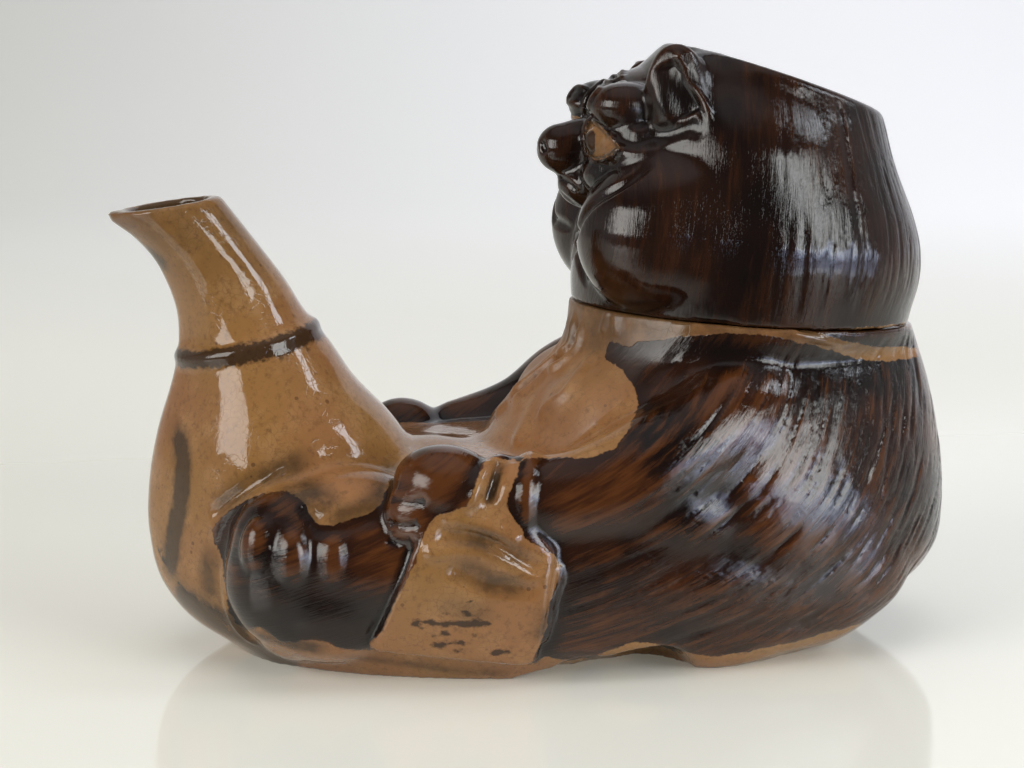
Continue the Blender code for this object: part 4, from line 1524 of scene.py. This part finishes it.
    def add_strap(self, clay: Clay, tree: BVHTree) -> None:
        """The strap of two cords from the wrist to the book.

        Args:
            clay: The forms that it joins.
            tree: The skin that it lies on.
        """
        over = [(-11, -33, 50), (-13, -41, 50), (-15.4, -46, 47), (-17.6, -49, 43), (-19, -50, 38)]
        for shift, spread in ((-2.3, -1.2), (0, 0), (2.3, 1.2)):
            places = [(x + shift + spread * i, y, z) for i, (x, y, z) in enumerate(over)]
            sunk = 0.4 if shift else 0.9
            clay.limb(settled(tree, places, -sunk * self.strap_radius), [self.strap_radius] * len(places))

    def cord_line(self, lift: float) -> list[Place]:
        """The line round the flask where its cord is tied, lower at the front than at the back."""
        turns = range(0, 361, 15)
        return [around(FLASK, 70.3 - 3.2 * math.cos(math.radians(a)), a, lift) for a in turns]

    def details(self, masses: bpy.types.Object) -> bpy.types.Object:
        """Works book, strap, toes, folds and the flask's cord onto the large forms.

        Args:
            masses: The large forms, which are used up.

        Returns:
            One skin over all of them.
        """
        clay = Clay()
        tree = tree_of(masses)
        self.laid_on(clay, tree, ((-43.5, 8.5), (-9, 4.5), (-5.5, 31), (-33.5, 36)), 7.5)
        self.add_strap(clay, tree)
        self.add_toes(clay)
        radius = self.cord_width / 2
        cord = self.cord_line(-0.62 * radius)
        clay.limb(cord, [radius] * len(cord))
        for angle, low in ((2, 52), (-17, 49), (18, 48)):
            heights = np.linspace(74, low, 7)
            folds = [around(TORSO, h, angle * (74 - h) / 20, -0.6) for h in heights]
            clay.limb(folds, [1.3] * 6 + [2.0])
        clay.add(masses)
        return clay.skin(self.node + "_details", 0.8, 3)

    def hollow(self) -> bpy.types.Object:
        """The inside of trunk, seat and flask, open at the neck and at the pouring mouth.

        Returns:
            The form of the space.
        """
        clay = Clay()
        clay.stack(BOWL, self.floor, 36, self.wall)
        clay.stack(TORSO, self.floor, 82, self.wall)
        clay.stack(FLASK, self.floor, 74, self.wall)
        clay.limb(BORE_WAY, [self.bore / 2] * len(BORE_WAY))
        return clay.skin("hollow", 1.2, 3)

    def form(self) -> bpy.types.Object:
        """The whole body in clay, cut and hollowed.

        Returns:
            The body.
        """
        body = self.details(self.masses())
        for middle, radii in (((17.5, 46, -1), (12, 22, 8.6)), ((12, 46, -3), (19, 22, 7.4))):
            for side in SIDES:
                clay = Clay()
                clay.ball((middle[0], side * middle[1], middle[2]), radii)
                cut(body, clay.solid("arch"))
        cut_flat(body, FOOT_CUT, -120, 120, above=False)
        cut_flat(body, NECK_CUT, -30, 120, above=True)
        cut_flat(body, MOUTH_CUT, -130, -40, above=True)
        cut(body, self.hollow())
        clay = Clay()
        socket = moved(NECK_CUT, -self.flange_depth - self.flange_clearance)
        low = height_on(socket, read(TORSO, SEAT_HEIGHT)[1])
        clay.tube(SEAT_HEIGHT, low, SEAT_HEIGHT + OVERSHOOT, self.rim_land)
        cut(body, clay.solid("neck"))
        return reskinned(body, self.node + "_glazed", 0.68, 2)

    def work(self, skin: Skin) -> None:
        """Works folds, grooves and edges into the clay.

        Args:
            skin: The body's skin.
        """
        skin.carve(BODY_FOLDS, NEAR)
        skin.carve(FLASK_LINES)
        skin.carve(BOOK_LINES, NEAR, 0.08)

    def shape(self, skin: Skin) -> None:
        """Evens out the large forms before the finer work.

        Args:
            skin: The body's skin.
        """
        for side in SIDES:
            skin.dab((40, side * 41, 4), (22, 16, 9), 2.2)
            skin.dab((88, side * 18, 12), (18, 36, 14), -1.0)
            skin.soften((26, side * 30, 46), (22, 14, 14), 24)
            skin.soften((-8, side * 30, 44), (12, 14, 10), 10)
            skin.soften((8, side * 22, 56), (24, 18, 14), 24)
            skin.soften((31, side * 43, 2), (13, 12, 8), 40)
        skin.dab((-101, 0, 96), (9, 12, 6), 1.3)
        skin.soften((-90, 0, 101), (26, 16, 9), 8)
        skin.soften((-105, 0, 98.5), (8, 12, 5), 30)
        x, y, z = skin.places.T
        arch = np.clip(1 - ((x - 1) / 14) ** 2, 0, 1) * ramp(np.abs(y), 28, 38) * ramp(-z, -10, -1)
        skin.places[:, 2] += 2.6 * arch + 5.0 * ramp(x, 52, 82) * ramp(-z, -18, 0)
        taper = 0.17 * np.clip((x - 12) / 82, 0, 1) ** 2 + 0.12 * ramp(x, 10, 50) * np.clip((z - 20) / 54, 0, 1) ** 2
        skin.places[:, 1] *= 1 - taper * ramp(-z, -74, -66)

    def fur(self, places: np.ndarray) -> np.ndarray:
        """Where the trunk, the upper arms and the haunches carry fur.

        Args:
            places: Figure millimetres, one row each.

        Returns:
            How strongly the combs press, from 0 to 1.
        """
        x, y, z = places.T
        side = ramp(x, 2, 18) * ramp(z, 5, 11) * ramp(-z, -73, -68)
        belly = ramp(-x, -26, -14) * ramp(z, 44, 50) * ramp(-np.abs(y), -42, -36)
        leg = 0.45 * ramp(x, -50, -38) * ramp(np.abs(y), 33, 38) * ramp(z, 6, 12) * ramp(-z, -44, -38)
        book = ramp(-y, 36, 40) * ramp(x, -48, -44) * ramp(-x, 2, 6)
        return np.maximum(side * (1 - belly), leg) * (1 - book)

    def buff(self, places: np.ndarray) -> np.ndarray:
        """How far each place lies inside the buff glaze, in figure millimetres.

        Args:
            places: Figure millimetres, one row each.

        Returns:
            The distance, below nothing in the dark glaze.
        """
        x, y, z = places.T
        u, v, size = VIEW.seen(near_side(places))
        dark = inside_by(DARK_ON_BODY, u, v) * size
        near = np.interp(x, (-60, -45, -38, 4, 14, 22), (22, 26, 31, 31, 15, -60))
        far = np.interp(x, (-60, -45, -38, 8, 16, 24), (22, 23, 23, 23, 15, -60))
        dark = np.minimum(dark, np.abs(y) - np.where(y > 0, far, near))
        dark = np.maximum(dark, np.minimum(np.minimum(y - 23, z - 37), np.minimum(np.minimum(x + 44, 30 - x), 72 - z)))
        dark = np.maximum(dark, inside_by(NECK_RIM, u, v) * size)
        book = np.minimum(inside_by(BOOK, u, v) * size, -y - 27)
        return np.maximum(-dark, book)

    def paint(self, skin: Skin) -> None:
        """Keeps the marks that the finish reads.

        Args:
            skin: The body's skin.
        """
        skin.mark("buff", self.buff(skin.places))
        ink = np.zeros(skin.count)
        cord = np.array(self.cord_line(0.6))
        skin.paint(ink, cord, 2.3, 1.15, 0)
        skin.brush(ink, FLASK_STROKES)
        for level, dashes in BOOK_MARKS:
            for i, (start, length) in enumerate(dashes):
                fall = 2.5 * (-1) ** i
                dash = ((start, level + fall), (start + length / 2, level), (start + length, level - fall))
                skin.paint(ink, skin.drawn(dash), 0.75, 1.3, 0.2)
        skin.mark("ink", ink)
        # Stains, and painted shade: dark bands in the folds of book and strap and along the edges of book and wrist.
        stain_and_shade = np.zeros(skin.count)
        skin.brush(stain_and_shade, FLASK_SMOKE, 0.2)
        skin.brush(stain_and_shade, BOOK_SHADE_AND_STAIN, 0.3, NEAR)
        # The inside of the pouring mouth is darkened.
        radius = self.bore / 2
        chosen, gap, _ = skin.near(flowing(BORE_WAY, 1), radius + 2)
        stain_and_shade[chosen] = np.maximum(stain_and_shade[chosen], 1.6 * ramp(-gap, -radius - 1.3, -radius - 0.2))
        x, y, z = skin.places.T
        # The flask's neck darker towards its top, the trunk darker just under the head, and the dark glaze darker low
        # on the shins.
        stain_and_shade = np.maximum(stain_and_shade, 0.42 * ramp(z, 74, 100) * ramp(-x, 50, 60))
        stain_and_shade = np.maximum(stain_and_shade, 0.6 * ramp(z, 66, 71) * ramp(x, -6, 0))
        shin = ramp(-z, -27, -19) * ramp(-x, 8, 34) * ramp(np.abs(y), 30, 36)
        stain_and_shade = np.maximum(stain_and_shade, shin * (self.buff(skin.places) < 0))
        skin.mark("stain_and_shade", stain_and_shade)
        dull = np.zeros(skin.count)
        skin.paint(dull, skin.drawn(((568, 398), (592, 430))), 11, 0.4, 0.2)
        lap = ramp(x, -18, -8) * ramp(-x, -40, -28) * ramp(-np.abs(y), -33, -27) * ramp(z, 46, 52)
        skin.mark("dull", dull + 0.32 * lap)


@dataclass
class Head(GlazedPiece):
    """The hollow head with its locating flange."""

    node: str = "head_lid"
    slot: str = "head_glaze"
    wall: float = 4.5
    seat_gap: float = 0.3
    flange_wall: float = 3.5
    triangles: int = 145000
    flow: Flow = Flow(48.0, 38.0, 84.0, 84.0)
    combs: tuple[Comb, ...] = (
        Comb("locks", 0.3, 5.0, 60.0, 5), Comb("strokes", 0.2, 2.2, 26.0, 9), Comb("hairs", 0.1, 1.3, 14.0, 15),
    )
    glazing: Glazing = Glazing("head_glaze", DarkGlaze(brown=(0.017, 0.0065, 0.0036, 1), streaks=0.2), BuffGlaze())

    def face(self, barrel: bpy.types.Object) -> bpy.types.Object:
        """Works face, cheeks and ears onto the barrel of the head.

        Args:
            barrel: The barrel, which is used up.

        Returns:
            One skin over both.
        """
        clay = Clay()
        clay.add(barrel)
        clay.limb([(18, 0, 113.4), (9.5, 0, 113.6), (4.2, 0, 113)], [8, 6.4, 5.7])
        clay.ball((12.6, 0, 105), (9.2, 8.2, 6.4))
        clay.pair((17.2, 12.5, 122.2), (9.2, 8, 6), (0, 6, -20))
        clay.ball((24, 0, 122), (12.5, 17, 9.5), (0, -14, 0))
        clay.pair((13.2, 10, 115), (5, 5, 4.6))
        clay.pair((19, 13.5, 112.8), (9, 11.5, 7.6))
        clay.pair((16, 11, 108), (9, 9, 6))
        for side, cheek, ear, down in ((-1, 0, 0, 0), (1, 0.8, 2.5, 3.5)):
            clay.ball((24 + cheek, side * 18.5, 94.5), (19.4, 18, 18.6))
            clay.ball((34 + ear, side * 15, 126 - down), (11, 9, 9))
            clay.ball((26.5 + ear, side * 21.5, 125.5 - down), (6.5, 4.6, 10.5), (0, 6, 0))
            clay.ball((28 + ear, side * 20, 118 - down), (6, 7, 7))
            front_edge = [(21.8, 19.5, 122), (21.6, 20.5, 129), (26, 21.5, 134.4)]
            helix = front_edge + [(29.4, 24, 128), (32, 26, 121), (31, 27, 115.5)]
            clay.limb([(x + ear, side * y, z - down) for x, y, z in helix], [1.9, 2.2, 2.4, 2.2, 2, 1.6])
            clay.ball((34, side * 18, 93), (25, 19.2, 20))
            clay.ball((31, side * 16, 101), (20, 17.5, 12.5))
        return clay.skin(self.node + "_face", 0.7, 4)

    def flange(self) -> bpy.types.Object:
        """The upright collar under the head that keeps it in the neck.

        Returns:
            The collar.
        """
        clay = Clay()
        top = SEAT_HEIGHT + FLANGE_ROOT
        clay.tube(SEAT_HEIGHT, SEAT_HEIGHT - OVERSHOOT, top, self.rim_land + self.flange_clearance)
        collar = clay.solid("flange")
        cut_flat(collar, moved(NECK_CUT, -self.flange_depth), -60, 160, above=False)
        return collar

    def hollow(self) -> bpy.types.Object:
        """The inside of the head, under the crown, with the way in through the flange.

        Returns:
            The form of the space.
        """
        clay = Clay()
        clay.stack(HEAD, SEAT_HEIGHT + 6, 140, self.wall)
        hollow = clay.solid("hollow")
        cut_flat(hollow, moved(CROWN_CUT, -self.wall), -60, 160, above=True)
        clay = Clay()
        inset = self.rim_land + self.flange_clearance + self.flange_wall
        clay.tube(SEAT_HEIGHT, SEAT_HEIGHT - OVERSHOOT, SEAT_HEIGHT + FLANGE_ROOT, inset)
        return cut(hollow, clay.solid("way"), "UNION")

    def form(self) -> bpy.types.Object:
        """The whole head in clay, cut and hollowed.

        Returns:
            The head.
        """
        clay = Clay()
        clay.stack(HEAD, 64, 140)
        barrel = clay.solid("barrel")
        cut_flat(barrel, CROWN_CUT, -30, 120, above=True)
        head = self.face(reskinned(barrel, "barrel", 0.9, 8))
        cut_flat(head, moved(NECK_CUT, self.seat_gap), -60, 160, above=False)
        cut(head, self.flange(), "UNION")
        cut(head, self.hollow())
        return reskinned(head, self.node + "_glazed", 0.6, 2)

    def work(self, skin: Skin) -> None:
        """Works eyes, brows, ears, lips and cheeks into the clay.

        Args:
            skin: The head's skin.
        """
        skin.carve(HEAD_LINES, SIDES, 0.12)
        skin.carve(((EYE + EYE[:1], 1.2, 0.8), (((541.5, 144), (543, 149)), 1.5, -1.1)), taper=0)
        skin.carve(((((587, 127), (588, 151)), 3.0, 0.6),), taper=0.3)

    def shape(self, skin: Skin) -> None:
        """Evens out the large forms before the finer work.

        Args:
            skin: The head's skin.
        """
        for side in SIDES:
            skin.soften((34, side * 32, 100), (22, 16, 24), 60)
            skin.dab((36, side * 32, 113), (26, 16, 17), 2.8)
            skin.soften((36, side * 30, 107), (22, 14, 14), 80)
            skin.soften((23, side * 22, 113), (12, 11, 7), 26)
            skin.soften((27, side * 23, 123), (8, 8, 12), 45)
            skin.soften((38, side * 25, 121), (8, 8, 14), 40)

    def fur(self, places: np.ndarray) -> np.ndarray:
        """Where the head carries fur: behind the face, under the crown.

        Args:
            places: Figure millimetres, one row each.

        Returns:
            How strongly the combs press, from 0 to 1.
        """
        x, _, z = places.T
        back = ramp(x, 36, 52) * ramp(z, 76, 82) * ramp(height_on(CROWN_CUT, x) - z, 0.5, 4)
        cheek = 0.1 * ramp(x, 12, 22) * ramp(z, 76, 82) * ramp(-z, -112, -106)
        return np.maximum(back, cheek)

    def paint(self, skin: Skin) -> None:
        """Keeps the marks that the finish reads.

        Args:
            skin: The head's skin.
        """
        x, _, z = skin.places.T
        u, v, size = VIEW.seen(near_side(skin.places))
        eye = np.minimum(inside_by(EYE, u, v) * size, 17 - x)
        seam = height_on(NECK_CUT, x) + 1.0 * ramp(x, 50, 70) - z
        skin.mark("buff", np.maximum(eye * 2.5, seam))
        ink = np.zeros(skin.count)
        for side in SIDES:
            skin.paint(ink, skin.drawn(((588.6, 137.5), (589.2, 147)), side), 1.35, 3.4, 0.0)
        skin.mark("ink", ink)
        # A dark rim round the eye, the eye darker towards its lower edge, and the buff band at the foot of the head
        # darkened.
        stain_and_shade = 1.3 * ramp(-eye, -1.3, 0.2) + 0.5 * ramp(v, 132, 158)
        skin.mark("stain_and_shade", np.where(eye > -2, np.where(eye > 0, stain_and_shade, 0.0), 0.5 * (seam > 0)))
        ear = sum(skin.within((24, side * 22, 121), (13, 11, 17)) for side in SIDES)
        skin.mark("dull", np.maximum(0.12 * (eye > -0.5), 0.15 * np.clip(2 * ear, 0, 1)))


def drop_fins(bm: bmesh.types.BMesh) -> None:
    """Removes the faces that lie back to back on the same corners, which triangulating leaves on flat places.

    Args:
        bm: The mesh.
    """
    on_corners = {}
    for face in bm.faces:
        on_corners.setdefault(frozenset(face.verts), []).append(face)
    fins = [face for faces in on_corners.values() if len(faces) > 1 for face in faces]
    bmesh.ops.delete(bm, geom=fins, context="FACES")


def thin(obj: bpy.types.Object, triangles: int) -> None:
    """Thins an object's mesh to about a number of triangles, and leaves none long.

    Args:
        obj: The object.
        triangles: The number.
    """
    obj.data.calc_loop_triangles()
    count = len(obj.data.loop_triangles)
    if count > triangles:
        decimate = obj.modifiers.new("Thin", "DECIMATE")
        decimate.ratio = triangles / count
        decimate.use_collapse_triangulate = True
        applied(obj)
    bm = bmesh.new()
    bm.from_mesh(obj.data)
    for _ in range(SPLIT_ROUNDS):
        long = [edge for edge in bm.edges if edge.calc_length() > LONGEST_EDGE * UNIT]
        bmesh.ops.subdivide_edges(bm, edges=long, cuts=1)
        bmesh.ops.triangulate(bm, faces=[face for face in bm.faces if len(face.verts) > 3])
    drop_fins(bm)
    bm.to_mesh(obj.data)
    bm.free()


def settle(obj: bpy.types.Object, node: str, material: bpy.types.Material) -> bpy.types.Object:
    """Gives a piece its glaze, and puts it in the place of its CAD node.

    Args:
        obj: The finished piece.
        node: The CAD node that it stands for.
        material: Its glaze.

    Returns:
        The piece.
    """
    obj.name = obj.data.name = node + "_glazed"
    obj.data.materials.clear()
    obj.data.materials.append(material)
    obj.data.shade_smooth()
    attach(obj, "root")
    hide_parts(node)
    obj.data.calc_loop_triangles()
    LOG.info("%s: %d triangles", obj.name, len(obj.data.loop_triangles))
    return obj


@dataclass(frozen=True)
class SoftBox:
    """A soft light, placed by the direction in which the figure sees it."""

    name: str
    azimuth: float
    elevation: float
    spread: tuple[float, float]
    radiance: float
    colour: Place = (1.0, 1.0, 1.0)
    glints: bool = True
    distance: float = 1.3
    target: Place = (0.0, 0.0, 0.06)

    def build(self) -> bpy.types.Object:
        """Hangs the light, turned towards its target.

        Returns:
            The light.
        """
        data = bpy.data.lights.new(self.name, "AREA")
        data.shape = "RECTANGLE"
        wide, tall = [2 * self.distance * math.tan(math.radians(a / 2)) for a in self.spread]
        data.size, data.size_y = wide, tall
        data.energy, data.color = self.radiance * math.pi * wide * tall, self.colour
        turn, rise = math.radians(self.azimuth), math.radians(self.elevation)
        ray = Vector((math.sin(turn) * math.cos(rise), -math.cos(turn) * math.cos(rise), math.sin(rise)))
        obj = bpy.data.objects.new(self.name, data)
        obj.visible_glossy = self.glints
        obj.visible_camera = False
        obj.location = Vector(self.target) + ray * self.distance
        obj.rotation_euler = ray.to_track_quat("Z", "Y").to_euler()
        bpy.context.scene.collection.objects.link(obj)
        return obj


@dataclass
class Studio:
    """The pale table, its soft lights and the camera."""

    table_colour: Place = (0.79, 0.775, 0.71, 1)
    # near_table is the table's colour in front for every ray but the camera's; the near and far colours are its glow,
    # painted light.
    near_table: Place = (0.06, 0.06, 0.06, 1)
    near_left: Place = (0.05, 0.05, 0.035, 1)
    near_right: Place = (0.13, 0.13, 0.12, 1)
    far_left: Place = (0.15, 0.155, 0.15, 1)
    far_right: Place = (0.50, 0.51, 0.57, 1)
    room: Place = (0.07, 0.07, 0.073, 1)
    wall: Place = (0.40, 0.40, 0.41, 1)
    backdrop: Place = (0.76, 0.77, 0.76, 1)
    table_ior: float = 1.75
    lights: Sequence[SoftBox] = field(default_factory=lambda: (
        SoftBox("window_left", -61, 22, (34, 33), 6.3, (1.0, 0.985, 0.94)),
        SoftBox("window_right", 42, 17, (24, 30), 8.0, (0.97, 1.0, 0.99)),
        SoftBox("blue_pane", 46, 2, (40, 8), 7.0, (0.62, 0.72, 1.0)),
        SoftBox("high_pane", 76, 37, (12, 14), 9.0, (0.85, 0.92, 1.0)),
        SoftBox("ceiling", 0, 88, (44, 44), 1.7, (1.0, 0.99, 0.96), glints=False),
    ))

    def table_finish(self) -> bpy.types.Material:
        """A pale, mirroring table top that glows softly as a backdrop behind.

        Returns:
            The material.
        """
        material = bpy.data.materials.new("pale_table")
        material.use_nodes = True
        wiring = Wiring(material.node_tree)
        shader = material.node_tree.nodes["Principled BSDF"]
        place = wiring.place()
        across, depth, _ = wiring.node("ShaderNodeSeparateXYZ", {0: place}).outputs
        cloud = wiring.noise(place, 9.0, 2.0, 0.5)
        # To every ray but the camera's the table in front is dark, which takes its reflection and bounced light off
        # the figure; the camera sees it pale.
        direct = wiring.node("ShaderNodeLightPath").outputs["Is Camera Ray"]
        seen = wiring.math("MAXIMUM", wiring.span(depth, -0.16, -0.05), direct)
        base = wiring.mix(seen, self.near_table, self.table_colour)
        wiring.join(base, shader.inputs["Base Color"])
        rough = wiring.math("ADD", wiring.span(cloud, 0.3, 0.7, 0.06, 0.09), wiring.span(depth, 0.05, 0.5, 0.0, 0.6))
        wiring.join(rough, shader.inputs["Roughness"])
        shader.inputs["IOR"].default_value = self.table_ior
        # The glow is painted light: the table glows, brighter behind and to the right, and in front it glows only to
        # the camera.
        right = wiring.span(across, -0.6, 0.8)
        near = wiring.mix(right, self.near_left, self.near_right)
        far = wiring.mix(right, self.far_left, self.far_right)
        glow = wiring.mix(wiring.span(depth, 0.0, 1.2), near, far)
        wiring.join(wiring.mix(seen, (0.0, 0.0, 0.0, 1), glow), shader.inputs["Emission Color"])
        shader.inputs["Emission Strength"].default_value = 1.0
        return material

    def table(self) -> bpy.types.Object:
        """The table, which rises behind as a smooth backdrop.

        Returns:
            The table.
        """
        mesh = bpy.data.meshes.new("table")
        bm = bmesh.new()
        profile = [(-3.0, 0.0), (1.2, 0.0)]
        profile += [(1.2 + 1.2 * math.sin(a), 1.2 - 1.2 * math.cos(a)) for a in np.linspace(0.05, math.pi / 2, 24)]
        profile.append((2.4, 3.2))
        rows = [[bm.verts.new((x, y, z)) for x in (-4.0, 4.0)] for y, z in profile]
        for low, high in zip(rows, rows[1:]):
            bm.faces.new((low[0], low[1], high[1], high[0]))
        bm.to_mesh(mesh)
        bm.free()
        obj = bpy.data.objects.new("table", mesh)
        obj.data.materials.append(self.table_finish())
        obj.data.shade_smooth()
        bpy.context.scene.collection.objects.link(obj)
        return obj

    def air(self) -> bpy.types.World:
        """The room round the table: dim in front, paler at both sides.

        Returns:
            The world.
        """
        world = bpy.data.worlds.new("room")
        world.use_nodes = True
        wiring = Wiring(world.node_tree)
        place = wiring.node("ShaderNodeTexCoord").outputs["Generated"]
        across, _, height = wiring.node("ShaderNodeSeparateXYZ", {0: place}).outputs
        side = wiring.span(wiring.math("ABSOLUTE", across), 0.7, 0.97)
        light = wiring.mix(wiring.math("MAXIMUM", side, wiring.span(height, 0.75, 0.95)), self.room, self.wall)
        light = wiring.mix(wiring.node("ShaderNodeLightPath").outputs["Is Camera Ray"], light, self.backdrop)
        wiring.join(light, world.node_tree.nodes["Background"].inputs["Color"])
        return world

    def build(self) -> None:
        """Sets the table, the lights, the air round them and the camera."""
        self.table()
        for light in self.lights:
            light.build()
        bpy.context.scene.world = self.air()
        bpy.context.scene.view_settings.view_transform = "Standard"
        VIEW.camera()


def main() -> None:
    """Builds the studio and the two glazed pieces."""
    logging.basicConfig(level=logging.INFO, format="%(message)s")
    Studio().build()
    LOG.info("studio: built")
    Body().build()
    Head().build()
    bpy.context.view_layer.update()


if __name__ == "__main__":
    main()
